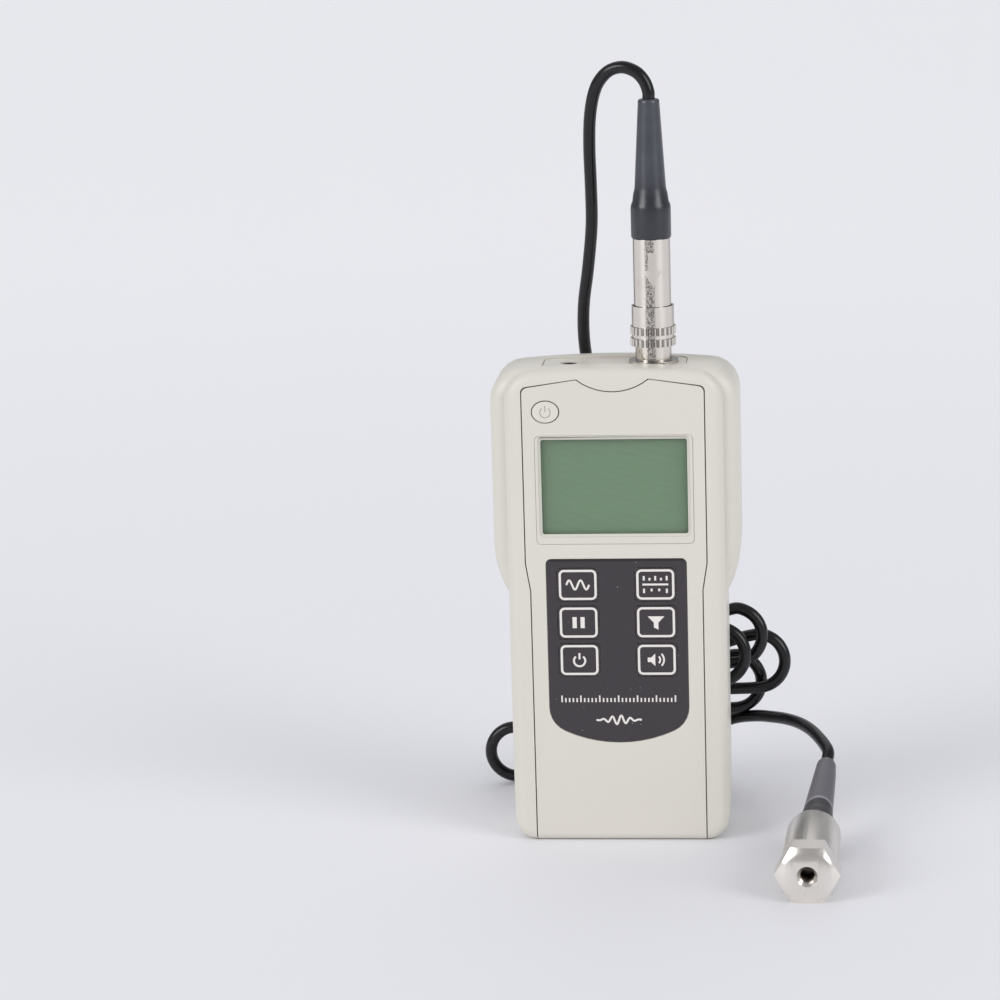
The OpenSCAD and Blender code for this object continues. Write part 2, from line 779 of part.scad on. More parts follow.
module battery_cells() {
    body_l = cell_l - cap_h;
    z0 = bay_z0 + contact_t + spring_l + fit;
    color([0.25, 0.32, 0.4]) for (k = [0:cell_count - 1]) translate([cell_x(k), cell_y, z0]) {
        cylinder(h = body_l, r = cell_r);
        cylinder(h = cell_l, r = cap_r);
    }
}

module battery_contacts() {
    inner = cell_r * 1.5;
    color("silver") for (k = [0:cell_count - 1], z = [bay_z0, bay_z1 - contact_t])
        translate([cell_x(k) - inner / 2, cell_y - inner / 2, z]) cube([inner, inner, contact_t]);
}

module battery_springs() {
    color("silver") for (k = [0:cell_count - 1])
        translate([cell_x(k), cell_y, bay_z0 + contact_t]) cylinder(h = spring_l, r1 = cell_r / 2, r2 = cap_r);
}

// Connectors in the top face

module jack_socket() {
    ring_top = plate_top_z - jack_sink;
    body_top = cavity_top_z;
    bore_depth = jack_body_h + ring_top - body_top - plate_floor_t;
    color([0.12, 0.12, 0.13]) translate([-jack_x, 0, 0]) difference() {
        union() {
            translate([0, 0, body_top - fit]) cylinder(h = ring_top - body_top + fit, r = jack_ring_r);
            translate([-jack_body_w / 2, -jack_body_d / 2, body_top - jack_body_h])
                cube([jack_body_w, jack_body_d, jack_body_h]);
        }
        translate([0, 0, ring_top - bore_depth]) cylinder(h = bore_depth + over, r = jack_bore_r);
    }
}

module sensor_socket() {
    color([0.8, 0.78, 0.74]) translate([socket_x, 0, plate_top_z]) difference() {
        union() {
            cylinder(h = ring_h, r = ring_r);
            translate([0, 0, -socket_depth]) cylinder(h = socket_depth + neck_h, r = neck_r);
        }
        translate([0, 0, socket_floor_t - socket_depth])
            cylinder(h = socket_depth + neck_h, r = socket_bore_r);
    }
}

module socket_nut() {
    color([0.7, 0.68, 0.64]) translate([socket_x, 0, cavity_top_z - nut_t]) difference() {
        cylinder(h = nut_t, r = nut_af / sqrt(3), $fn = 6);
        translate([0, 0, -over]) cylinder(h = nut_t + 2 * over, r = neck_r + fit);
    }
}

module socket_insert() {
    base_z = plate_top_z - socket_depth + socket_floor_t;
    block_h = socket_depth - socket_floor_t - nose_depth - fit;
    color([0.9, 0.88, 0.8]) translate([socket_x, 0, base_z]) difference() {
        cylinder(h = block_h, r = socket_bore_r - fit);
        for (k = [0:pin_count - 1]) rotate([0, 0, 360 * k / pin_count]) translate([pin_ring_r, 0, fit])
            cylinder(h = block_h, r = pin_r + fit);
    }
}

module socket_wires() {
    socket_floor = plate_top_z - socket_depth;
    wire_r = 0.6;
    drop = 6;
    colours = ["firebrick", "gold", "gray"];
    for (k = [-1:1]) {
        x = socket_x + k * 3 * wire_r;
        route = [
            [x, 0, socket_floor], [x, 0, socket_floor - drop / 3], [x, board_back_y / 4, socket_floor - drop * 0.7],
            [x, board_back_y * 0.6, socket_floor - drop], [x, board_back_y + wire_r, socket_floor - drop],
            [x, board_back_y, socket_floor - drop],
        ];
        color(colours[k + 1]) sweep(route, [for (p = route) wire_r], coil_sides);
    }
}

// Plug on the lead: barrel, collar that slides on it, insert and boot

function plug_z(h) = plate_top_z + h;

module plug_barrel() {
    color([0.82, 0.8, 0.77]) translate([socket_x, 0, 0]) difference() {
        union() {
            translate([0, 0, plug_z(barrel_step)]) cylinder(h = barrel_top - barrel_step, r = barrel_r);
            translate([0, 0, plug_z(barrel_low)]) cylinder(h = barrel_step - barrel_low + fit, r = shell_r);
            translate([0, 0, plug_z(-nose_depth)]) cylinder(h = nose_depth + barrel_low + fit, r = nose_r);
            translate([0, 0, plug_z(barrel_top) - fit]) cylinder(h = tail_h + fit, r = tail_r);
        }
        translate([0, 0, plug_z(-nose_depth) - over])
            cylinder(h = nose_depth + barrel_top - 2 * tail_h + over, r = nose_bore_r);
    }
}

function knurl(r) = [for (k = [0:4 * knurl_count - 1])
    let (a = 90 * k / knurl_count, q = k % 4 < 2 ? r : r - knurl_depth) [q * cos(a), q * sin(a)]];

module plug_collar() {
    upper_band = collar_low + band_h + band_gap;
    color([0.8, 0.78, 0.75]) translate([socket_x, 0, plate_top_z]) difference() {
        union() {
            for (z = [collar_low, upper_band]) translate([0, 0, z]) linear_extrude(band_h) polygon(knurl(knurl_r));
            translate([0, 0, collar_low]) cylinder(h = collar_top - collar_low, r = collar_r);
        }
        translate([0, 0, collar_low - over]) cylinder(h = collar_lip_low - collar_low + over, r = collar_bore_r);
        translate([0, 0, collar_low - over]) cylinder(h = collar_top, r = collar_lip_r);
        translate([0, 0, collar_lip_low + collar_lip_t]) cylinder(h = collar_top, r = collar_bore_r);
    }
}

module collar_spring() {
    low = collar_lip_low + collar_lip_t;
    color("silver") translate([socket_x, 0, plate_top_z]) difference() {
        translate([0, 0, low]) cylinder(h = barrel_step - low, r = collar_bore_r - fit);
        translate([0, 0, low - over]) cylinder(h = barrel_step + over, r = shell_r + fit);
    }
}

module plug_insert() {
    pin_l = nose_depth / 2;
    color([0.25, 0.25, 0.27]) translate([socket_x, 0, plug_z(fit - nose_depth)]) {
        translate([0, 0, fit]) cylinder(h = 2 * nose_depth, r = insert_r);
        for (k = [0:pin_count - 1]) rotate([0, 0, 360 * k / pin_count]) translate([pin_ring_r, 0, -pin_l])
            cylinder(h = pin_l + 2 * fit, r = pin_r);
    }
}

module plug_boot() {
    band_top = barrel_top + boot_band_h;
    neck = band_top + boot_shoulder_h;
    bend = boot_shoulder_h / 4;
    color([0.17, 0.18, 0.2]) translate([socket_x, 0, plate_top_z]) rotate_extrude() polygon([
        [0, barrel_top + tail_h + fit], [tail_r + fit, barrel_top + tail_h + fit], [tail_r + fit, barrel_top],
        [boot_r - bend / 2, barrel_top], [boot_r, barrel_top + bend], [boot_r, band_top - bend],
        [boot_r - bend / 2, band_top], [boot_neck_r + bend / 4, neck - bend], [boot_neck_r, neck],
        [boot_tip_r, boot_top], [0, boot_top],
    ]);
}

// Tube swept along a route: rings square to it, carried on without twist

function directions(p) = let (n = len(p)) [for (i = [0:n - 1])
    unit(i == 0 ? p[1] - p[0] : i == n - 1 ? p[n - 1] - p[n - 2] : unit(p[i + 1] - p[i]) + unit(p[i] - p[i - 1]))];

function carried(t) = [for (i = 0, v = unit(cross(t[0], abs(t[0][0]) > 0.9 ? [0, 0, 1] : [1, 0, 0]));
    i < len(t); i = i + 1, v = i < len(t) ? unit(v - (v * t[i]) * t[i]) : v) v];

module sweep(p, r, sides) {
    t = directions(p);
    v = carried(t);
    n = len(p);
    points = [for (i = [0:n - 1], k = [0:sides - 1])
        let (a = 360 * k / sides) p[i] + r[i] * (cos(a) * v[i] + sin(a) * cross(t[i], v[i]))];
    walls = [for (i = [0:n - 2], k = [0:sides - 1])
        let (a = i * sides + k, b = i * sides + (k + 1) % sides)
        each [[a, a + sides, b + sides], [a, b + sides, b]]];
    first = [for (k = [1:sides - 2]) [0, k, k + 1]];
    last = [for (k = [1:sides - 2]) let (e = (n - 1) * sides) [e, e + k + 1, e + k]];
    polyhedron(points, concat(walls, first, last));
}

// Wound part of the lead: round turn ends joined by runs that are drawn in at the middle

function smooth(u) = u * u * (3 - 2 * u);
function coil_y(half) = coil_y0 + coil_step * (half - 0.5);
function turn_side(k) = k % 2 == 0 ? 1 : -1;
function turn_centre(k) =
    [turn_side(k) * (coil_reach * reach_shares[k - 1] - coil_end_r), coil_high * height_shares[k - 1]];

function turn_end(k) = let (c = turn_centre(k)) [for (i = [0:arc_rings - 1])
    let (u = i / (arc_rings - 1), a = (180 * u - 90) + (turn_side(k) < 0 ? 180 : 0))
    [c[0] + coil_end_r * cos(a), coil_y(k + (u - 0.5) * arc_span_share), c[1] + coil_end_r * sin(a)]];

function run_between(p, q, waist) = [for (i = [1:run_rings])
    let (u = i / (run_rings + 1))
    [p[0] + (q[0] - p[0]) * u, p[1] + (q[1] - p[1]) * u, p[2] + (q[2] - p[2]) * smooth(u) + waist * pow(sin(180 * u), 2)]];

function run_before(k) = run_between(turn_end(k - 1)[arc_rings - 1], turn_end(k)[0], turn_side(k) * coil_waist);

coil_first = [coil_start[0], coil_y(0.5), coil_start[1]];
coil_last = [coil_finish[0], coil_y(coil_halves + 0.5), coil_finish[1]];
coil_route = concat(
    [coil_first, coil_first - [cord_d, 0, 0]],
    [for (i = [1:run_rings - 1]) run_between(coil_first - [cord_d, 0, 0], turn_end(1)[0], 0)[i]],
    turn_end(1),
    [for (k = [2:coil_halves]) each concat(run_before(k), turn_end(k))],
    [for (i = [0:run_rings - 2]) run_between(turn_end(coil_halves)[arc_rings - 1], coil_last - [cord_d, 0, 0], 0)[i]],
    [coil_last - [cord_d, 0, 0], coil_last]);

upper_points = concat(
    [[socket_x, 0, plug_boot_end], [socket_x, 0, plug_boot_end + cord_r]],
    upper_route, [coil_first + [cord_d, 0, 0], coil_first]);
boot_lean = unit(sensor_boot_end - boot_route[len(boot_route) - 1]);
lower_points = concat([coil_last, coil_last + [cord_d, 0, 0]], lower_route,
    [sensor_boot_end + cord_d * boot_lean, sensor_boot_end]);

// Length along a route, and the least gap between stretches that are further apart along it than a loop's width
function length_to(p) = [for (i = 0, s = 0; i < len(p); i = i + 1, s = i < len(p) ? s + norm(p[i] - p[i - 1]) : s) s];
function point_gap(a, p, q) = let (d = q - p, u = max(0, min(1, (a - p) * d / (d * d)))) norm(a - p - u * d);
function least_gap(p, apart) = let (s = length_to(p)) min([for (i = [0:len(p) - 1], j = [0:len(p) - 2])
    if (s[j] > s[i] + apart || s[j + 1] < s[i] - apart) point_gap(p[i], p[j], p[j + 1])]);

echo(least_gap_of_the_wound_lead = least_gap(coil_route, 4 * cord_d) - cord_d);
echo(lead_length = length_to(upper_points)[len(upper_points) - 1] + length_to(coil_route)[len(coil_route) - 1]
    + length_to(lower_points)[len(lower_points) - 1]);

module lead(points, sides) { color([0.14, 0.14, 0.16]) sweep(points, [for (p = points) cord_r], sides); }
module cord_upper() { lead(upper_points, cord_sides); }
module cord_coil() { lead(coil_route, coil_sides); }
module cord_lower() { lead(lower_points, cord_sides); }

// Strap round the runs of the wound lead: it clears them at both of its edges
tie_points = [for (x = [tie_x - tie_w / 2, tie_x + tie_w / 2], i = [0:len(coil_route) - 2])
    let (p = coil_route[i], q = coil_route[i + 1])
    if ((p[0] - x) * (q[0] - x) <= 0 && p[0] != q[0]) p + (q - p) * (x - p[0]) / (q[0] - p[0])];

module tie_outline(r) { hull() for (p = tie_points) translate([p[1], p[2]]) circle(r = r, $fn = 16); }

module coil_tie() {
    inner = cord_r + fit;
    color([0.1, 0.1, 0.1]) translate([tie_x - tie_w / 2, 0, 0]) rotate([90, 0, 90]) linear_extrude(tie_w)
        difference() {
            tie_outline(inner + tie_t);
            tie_outline(inner);
        }
}

// Sensor, lying in front and to the right, its axis turned a little from Y

sensor_way = [sin(sensor_turn), cos(sensor_turn), 0];
sensor_face = [sensor_x, -sensor_front, sensor_z];
sensor_rear = sensor_face + sensor_l * sensor_way;
module along_sensor(y) {
    translate(sensor_face + y * sensor_way) rotate([0, 0, -sensor_turn]) rotate([-90, 0, 0]) children();
}

module sensor_base() {
    cone = hex_af / 2;
    flat_r = hex_af / sqrt(3);
    color([0.82, 0.8, 0.77]) difference() {
        union() {
            intersection() {
                along_sensor(0) cylinder(h = hex_l, r = flat_r, $fn = 6);
                along_sensor(0) cylinder(h = hex_l, r1 = cone - hex_chamfer, r2 = cone - hex_chamfer + sqrt(3) * hex_l);
            }
            along_sensor(hex_l - fit) cylinder(h = spigot_l + fit, r = spigot_r);
        }
        along_sensor(-over) cylinder(h = tap_depth + over, r = tap_r);
        along_sensor(-sliver) cylinder(h = tap_mouth_r - tap_r + sliver, r1 = tap_mouth_r, r2 = tap_r);
    }
}

module sensor_housing() {
    length = sensor_l - hex_l;
    color([0.8, 0.78, 0.75]) along_sensor(hex_l) rotate_extrude() polygon(concat(
        [[housing_bore_r, 0], [sensor_r, 0]],
        arc(sensor_r - sensor_edge_r, length - sensor_edge_r, sensor_edge_r, 0, 90),
        [[cord_r + fit, length], [cord_r + fit, length - housing_end_t], [housing_bore_r, length - housing_end_t]]));
}

module sensor_crystal() {
    color([0.9, 0.88, 0.82]) along_sensor(hex_l + spigot_l) difference() {
        cylinder(h = crystal_t, r = crystal_r);
        translate([0, 0, -over]) cylinder(h = crystal_t + 2 * over, r = crystal_bore_r);
    }
}

module sensor_mass() {
    color([0.55, 0.55, 0.58]) along_sensor(hex_l + spigot_l + crystal_t) difference() {
        cylinder(h = mass_l, r = mass_r);
        translate([0, 0, -over]) cylinder(h = mass_l + 2 * over, r = crystal_bore_r);
    }
}

module sensor_stud() {
    stack = crystal_t + mass_l;
    color([0.65, 0.65, 0.66]) along_sensor(hex_l + spigot_l) {
        cylinder(h = stack + stud_head_t, r = stud_r);
        translate([0, 0, stack]) cylinder(h = stud_head_t, r = stud_head_r);
    }
}

module sensor_boot() {
    route = concat([sensor_rear, sensor_rear + cord_d * sensor_way], boot_route, [sensor_boot_end]);
    n = len(route) - 1;
    radii = [for (i = [0:n]) sensor_boot_r + (sensor_boot_tip_r - sensor_boot_r) * i / n];
    color([0.25, 0.25, 0.27]) sweep(route, radii, 2 * cord_sides);
}

case_body();
front_panel();
battery_door();
connector_plate();
display_bezel();
display_window();
display_glass();
display_holder();
keypad_overlay();
key_function();
key_hold();
key_power();
key_units();
key_filter();
key_volume();
key_domes();
power_button();
power_switch();
main_board();
board_chips();
board_screws();
case_screws();
battery_cells();
battery_contacts();
battery_springs();
jack_socket();
sensor_socket();
socket_nut();
socket_insert();
socket_wires();
plug_barrel();
plug_collar();
collar_spring();
plug_insert();
plug_boot();
cord_upper();
cord_coil();
cord_lower();
coil_tie();
sensor_boot();
sensor_housing();
sensor_base();
sensor_crystal();
sensor_mass();
sensor_stud();
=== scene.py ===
"""Finish, lead, stage and camera of a handheld vibration meter, made round its solid parts."""

import json
import math

import bmesh
import bpy
from mathutils import Matrix, Vector

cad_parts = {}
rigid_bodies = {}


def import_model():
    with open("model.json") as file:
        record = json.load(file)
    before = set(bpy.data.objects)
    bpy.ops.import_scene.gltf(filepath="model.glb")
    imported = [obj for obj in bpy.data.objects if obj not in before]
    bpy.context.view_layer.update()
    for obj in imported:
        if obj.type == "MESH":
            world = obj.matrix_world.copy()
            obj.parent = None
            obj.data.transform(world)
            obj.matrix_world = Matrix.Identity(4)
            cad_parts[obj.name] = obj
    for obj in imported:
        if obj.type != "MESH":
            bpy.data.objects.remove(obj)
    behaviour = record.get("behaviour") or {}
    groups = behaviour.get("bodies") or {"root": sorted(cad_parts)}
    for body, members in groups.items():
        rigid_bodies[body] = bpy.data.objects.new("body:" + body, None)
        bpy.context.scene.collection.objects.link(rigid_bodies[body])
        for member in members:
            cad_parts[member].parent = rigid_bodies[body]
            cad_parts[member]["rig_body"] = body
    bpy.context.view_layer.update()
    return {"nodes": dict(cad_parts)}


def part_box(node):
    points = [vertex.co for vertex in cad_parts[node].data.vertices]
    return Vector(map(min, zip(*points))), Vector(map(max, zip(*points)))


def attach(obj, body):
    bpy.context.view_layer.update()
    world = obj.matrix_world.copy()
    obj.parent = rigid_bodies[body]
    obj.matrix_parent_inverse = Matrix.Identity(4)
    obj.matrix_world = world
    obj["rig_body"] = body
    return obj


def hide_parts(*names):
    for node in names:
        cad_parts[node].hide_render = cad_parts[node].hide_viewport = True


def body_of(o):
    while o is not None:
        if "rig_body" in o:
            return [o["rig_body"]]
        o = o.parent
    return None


bl_info = {
    "name": "Handheld vibration meter",
    "version": (1, 0, 0),
    "blender": (4, 5, 0),
    "location": "View3D > Sidebar > Vibration meter",
    "description": "Finishes a handheld vibration meter with its sensor on a lead",
    "category": "Add Mesh",
}

MM = 0.001
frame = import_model()
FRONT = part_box("keypad_overlay")[0].y
PLATE_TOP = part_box("connector_plate")[1].z
PLUG_X = sum(corner.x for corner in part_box("plug_barrel")) / 2
KEYS = ("key_function", "key_hold", "key_power", "key_units", "key_filter", "key_volume")


def middle(node):
    """Middle of a part's box."""
    low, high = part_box(node)
    return (low + high) / 2


def linear(red, green, blue):
    """A colour given as 0 to 255 on a screen, in the values that Blender lights."""
    return tuple(((v / 255 + 0.055) / 1.055) ** 2.4 if v > 10 else v / 255 / 12.92 for v in (red, green, blue))


def size_of(name, description, value):
    return bpy.props.FloatProperty(name=name, description=description, default=value, min=0, unit="LENGTH", precision=5)


def colour_of(name, description, red, green, blue):
    return bpy.props.FloatVectorProperty(
        name=name, description=description, default=linear(red, green, blue), size=3, min=0, max=1, subtype="COLOR"
    )


class MeterSizes(bpy.types.PropertyGroup):
    """Sizes of the pieces that the finish adds."""

    lead_diameter: size_of("Lead diameter", "Thickness of the lead", 3.3 * MM)
    shell_edge: size_of("Shell edge", "Rounding of the moulded edges of the case", 0.25 * MM)
    metal_edge: size_of("Metal edge", "Rounding of the turned edges of plug and sensor", 0.12 * MM)
    key_outline_w: size_of("Key outline width", "Width of the printed outline of a key", 10.0 * MM)
    key_outline_h: size_of("Key outline height", "Height of the printed outline of a key", 8.2 * MM)
    key_outline_r: size_of("Key outline corner", "Corner radius of the printed outline", 1.1 * MM)
    print_line: size_of("Outline thickness", "Thickness of the printed outline of a key", 0.64 * MM)
    symbol_line: size_of("Symbol line", "Thickness of the lines of the printed symbols", 0.55 * MM)
    ink: size_of("Ink", "Height of the print above the keypad", 0.03 * MM)
    arrow_w: size_of("Arrow width", "Width of the head of the arrow on the plug", 5.1 * MM)
    arrow_shaft: size_of("Arrow shaft", "Width of the shaft of the arrow", 2.4 * MM)
    floor_radius: size_of("Floor radius", "Radius of the floor that the meter stands on", 9.0)


class MeterColours(bpy.types.PropertyGroup):
    """Colours of the finishes."""

    shell: colour_of("Shell", "Moulded case", 222, 218, 208)
    button: colour_of("Button", "Oval power button", 225, 221, 211)
    bezel: colour_of("Bezel", "Soft frame round the display", 220, 217, 207)
    display: colour_of("Display", "Display with nothing shown on it", 101, 132, 98)
    keypad: colour_of("Keypad", "Printed film of the keypad", 52, 46, 51)
    legend: colour_of("Legend", "Printed lines on the keypad", 238, 233, 228)
    nickel: colour_of("Nickel", "Plated plug and socket", 228, 221, 213)
    steel: colour_of("Steel", "Turned sensor", 240, 235, 228)
    lead: colour_of("Lead", "Sleeve of the lead", 14, 14, 17)
    boots: colour_of("Plug boot", "Strain relief of the plug", 29, 32, 41)
    # Grey of the sensor boot, made paler as painted sheen.
    dust_and_sheen: colour_of("Sensor boot", "Strain relief of the sensor", 98, 96, 102)
    # The floor's colour goes from darker near the meter to lighter far off: painted shade near the meter and painted
    # light far away.
    floor: colour_of("Floor", "Floor near the meter", 243, 243, 247)
    distance: colour_of("Distance", "Far floor and backdrop", 251, 251, 254)


def sizes():
    return bpy.context.scene.meter_sizes


def colours():
    return bpy.context.scene.meter_colours


# Finishes


class Value:
    """A number that varies over a surface, with arithmetic that adds the nodes for it."""

    def __init__(self, finish, socket):
        self.finish, self.socket = finish, socket

    def maths(self, operation, *others):
        return self.finish.node("ShaderNodeMath", {"operation": operation}, dict(enumerate((self, *others))))

    def __add__(self, other):
        return self.maths("ADD", other)

    __radd__ = __add__

    def __sub__(self, other):
        return self.maths("SUBTRACT", other)

    def __rsub__(self, other):
        return self.finish.node("ShaderNodeMath", {"operation": "SUBTRACT"}, {0: other, 1: self})

    def __mul__(self, other):
        return self.maths("MULTIPLY", other)

    __rmul__ = __mul__

    def __truediv__(self, other):
        return self.maths("DIVIDE", other)

    def __pow__(self, other):
        return self.maths("POWER", other)

    def __abs__(self):
        return self.maths("ABSOLUTE")

    def over(self, limit):
        return self.maths("GREATER_THAN", limit)

    def between(self, low, high):
        """0 up to low and 1 from high, with a smooth step between them."""
        inputs = {"Value": self, "From Min": low, "From Max": high}
        return self.finish.node("ShaderNodeMapRange", {"interpolation_type": "SMOOTHSTEP"}, inputs)


class Finish:
    """A material with one main shader."""

    def __init__(self, name, **looks):
        self.material = bpy.data.materials.new(name)
        self.material.use_nodes = True
        self.tree = self.material.node_tree
        self.shader = self.tree.nodes["Principled BSDF"]
        self.set(**looks)

    def plug(self, socket, value):
        if isinstance(value, Value):
            self.tree.links.new(value.socket, socket)
        elif socket.type == "RGBA" and len(value) == 3:
            socket.default_value = (*value, 1)
        else:
            socket.default_value = value

    def set(self, **looks):
        """Sets the shader's sockets, named as in Blender with underscores for spaces."""
        for name, value in looks.items():
            self.plug(self.shader.inputs[name.replace("_", " ")], value)

    def node(self, kind, settings=None, inputs=None, output=0):
        made = self.tree.nodes.new(kind)
        for name, value in (settings or {}).items():
            setattr(made, name, value)
        for name, value in (inputs or {}).items():
            self.plug(made.inputs[name], value)
        return Value(self, made.outputs[output])

    def place(self, stretch=(1, 1, 1)):
        """Object coordinates, stretched."""
        at = self.node("ShaderNodeTexCoord", output="Object")
        return self.node("ShaderNodeVectorMath", {"operation": "MULTIPLY"}, {0: at, 1: stretch})

    def axis(self, name):
        return self.node("ShaderNodeSeparateXYZ", None, {0: self.place()}, output=name)

    def noise(self, scale, detail, stretch=(1, 1, 1)):
        """Noise with a given number of blotches to the metre."""
        return self.node("ShaderNodeTexNoise", None, {"Vector": self.place(stretch), "Scale": scale, "Detail": detail})

    def specks(self, scale, size):
        """1 on scattered round specks and 0 elsewhere."""
        cells = self.node("ShaderNodeTexVoronoi", None, {"Vector": self.place(), "Scale": scale}, output="Distance")
        return 1 - cells.between(size * 0.6, size)

    def mix(self, share, first, second):
        """A mix of two colours, through the node's sockets for colours, which share their names with others."""
        made = self.tree.nodes.new("ShaderNodeMix")
        made.data_type = "RGBA"
        self.plug(made.inputs["Factor"], share)
        self.plug(made.inputs[6], first)
        self.plug(made.inputs[7], second)
        return Value(self, made.outputs[2])

    def bump(self, height, distance, strength):
        made = self.node("ShaderNodeBump", None, {"Height": height, "Distance": distance, "Strength": strength})
        self.set(Normal=made)


def shade(colour, share):
    """A colour made lighter or darker by a share."""
    return tuple(min(1.0, v * share) for v in colour[:3])


def moulded(name, colour, roughness=0.38):
    """Fine-grained moulded plastic."""
    made = Finish(name)
    broad = made.noise(24, 3)
    made.set(
        Base_Color=made.mix(broad, shade(colour, 0.97), shade(colour, 1.02)),
        Roughness=roughness - 0.05 + 0.1 * made.noise(90, 4),
    )
    made.bump(made.noise(5200, 3), 0.012 * MM, 0.5)
    return made.material


def display_film(name, colour):
    """Green display, faintly clouded, with painted shade that darkens it towards its edges."""
    border = 0.8 * MM
    made = Finish(name, Specular_IOR_Level=0.4)
    made.set(Roughness=0.3 + 0.06 * made.noise(160, 2))
    centre, (low, high) = middle("display_window"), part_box("display_window")
    half_w, half_h = (high.x - low.x) / 2 - border, (high.z - low.z) / 2 - border
    across = abs(made.axis("X") - centre.x) / half_w
    upward = abs(made.axis("Z") - centre.z) / half_h
    # Painted shade: the bezel's shadow, darker along the display's edges.
    painted_rim_shade = (across.between(0.9, 1.0) * 0.5 + upward.between(0.88, 1.0) * 0.5) * 0.6
    cloud = made.noise(55, 3) * 0.25
    made.set(Base_Color=made.mix(painted_rim_shade + cloud, shade(colour, 1.03), shade(colour, 0.78)))
    return made.material


def keypad_film(name, colour):
    """Matt printed film with a few specks of dust and a painted dark line of shade and dark reflection along its top
    edge.
    """
    made = Finish(name, Coat_Roughness=0.2, Coat_Weight=0.25)
    dust = made.specks(310, 0.045)
    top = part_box("keypad_overlay")[1].z
    # Painted shade and painted dark reflection along the film's top edge.
    painted_top_shade = made.axis("Z").between(top - 0.75 * MM, top - 0.45 * MM)
    tint = made.mix(made.noise(60, 2), shade(colour, 0.94), shade(colour, 1.05))
    tint = made.mix(painted_top_shade, tint, shade(colour, 0.2))
    made.set(
        Base_Color=made.mix(dust, tint, (0.4, 0.4, 0.4)),
        Roughness=0.36 + 0.1 * made.noise(140, 3),
    )
    made.bump(made.noise(1500, 2), 0.006 * MM, 0.6)
    return made.material


def plated(name, colour, axis, roughness, marks=0.5, lines=0.002 * MM, band=None, painted_shade_grooves=None, hole=None):
    """Plated or turned metal: fine lines, dull patches, dark specks and painted dark reflections towards the edges.

    axis: stretch of the fine lines, small along the directions in which they run.
    marks: how dark the specks are. lines: depth of the fine lines.
    band: middle and half width of a painted dark reflection down the front of the plug, grained and rougher.
    painted_shade_grooves: radii of the floor and the top of the knurls, whose hollows get painted shade.
    hole: middle of the mouth of the sensor's hole, inside which shade is painted, darker deeper in.
    """
    made = Finish(name, Metallic=1.0)
    fine_lines = made.noise(2600, 3, axis)
    patches = made.noise(190, 4).between(0.55, 0.75)
    specks = made.specks(900, 0.12) * made.noise(260, 2).between(0.55, 0.7)
    tint = made.mix(specks * marks, made.mix(patches, colour[:3], shade(colour, 0.93)), shade(colour, 0.4))
    # Painted reflection: darker where the surface turns away from the view.
    painted_dark_rims = made.node("ShaderNodeLayerWeight", None, {"Blend": 0.5}, output="Facing").between(0.45, 0.78)
    tint = made.mix(painted_dark_rims * (0.75 if band else 0.12), tint, shade(colour, 0.3))
    rough = roughness + 0.08 * patches + 0.05 * fine_lines
    # Painted reflection: a dark grained band down the front, where the plug faces the view.
    if band:
        centre, half = band
        side = 1 - abs(made.axis("X") - centre).between(half * 0.55, half)
        front = 1 - made.axis("Y").between(-MM, MM)
        grain = made.noise(2300, 3).between(0.42, 0.58)
        share = side * front * (0.3 + 0.7 * grain)
        tint = made.mix(share, tint, shade(colour, 0.3))
        rough = rough + 0.2 * share
    # Painted shade in the knurls' hollows.
    if painted_shade_grooves:
        floor, crest = painted_shade_grooves
        across, along = made.axis("X") - PLUG_X, made.axis("Y")
        radius = (across * across + along * along) ** 0.5
        outside_collar = radius.between(floor - 0.05 * MM, floor - 0.03 * MM)
        below_crest = 1 - radius.between(crest - 0.25 * MM, crest - 0.1 * MM)
        tint = made.mix(outside_collar * below_crest, tint, shade(colour, 0.42))
    # Painted shade inside the sensor's hole, darker deeper in.
    if hole:
        behind = made.axis("Y") - hole.y
        across = made.axis("X") - hole.x - behind * math.tan(SENSOR_TURN)
        up = made.axis("Z") - hole.z
        bore = SENSOR_BORE * MM
        inside = 1 - ((across * across + up * up) ** 0.5).between(bore + 0.05 * MM, bore + 0.25 * MM)
        tint = made.mix(inside * behind.between(0.1 * MM, 2 * MM), tint, shade((1.0, 0.8, 0.7), 0.16))
    made.set(Base_Color=tint, Roughness=rough)
    made.bump(fine_lines, lines, 0.4)
    return made.material


def rubbery(name, colour, roughness, dust=0.5, foot=None, dust_and_highlight=None, shine=0.8):
    """Soft dark plastic with a dull sheen and grains of dust.

    foot: depth up to which it is darker, where a pale line ends the dark part.
    dust_and_highlight: heights between which it turns paler, with dust and a painted highlight, and the colour it
    turns.
    """
    made = Finish(name, Specular_IOR_Level=shine)
    grains = made.specks(520, 0.04) * dust
    tint = made.mix(made.noise(120, 3), shade(colour, 0.85), shade(colour, 1.2))
    if dust_and_highlight:
        low, high, pale = dust_and_highlight
        # Dust and painted highlight: paler up the taper.
        dust_and_sheen = made.axis("Z").between(low, high) * (0.35 + 0.5 * made.noise(420, 4))
        tint = made.mix(dust_and_sheen, tint, pale)
    if foot:
        along = made.axis("Y") - foot
        pale_line = along.between(0, 0.2 * MM) * (1 - along.between(0.7 * MM, 1 * MM))
        tint = made.mix(along.between(0, 0.3 * MM), shade(colour, 0.35), tint)
        tint = made.mix(pale_line, tint, shade(colour, 2.1))
    made.set(
        Base_Color=made.mix(grains, tint, (0.3, 0.3, 0.3)),
        Roughness=roughness - 0.06 + 0.14 * made.noise(220, 3),
    )
    made.bump(made.noise(2400, 3), 0.01 * MM, 0.6)
    return made.material


def clear_cover(name):
    """Thin clear window that only adds its reflections."""
    made = Finish(name, Base_Color=(0.8, 0.86, 0.8))
    made.set(Alpha=0.08, Roughness=0.06 + 0.05 * made.noise(120, 2))
    return made.material


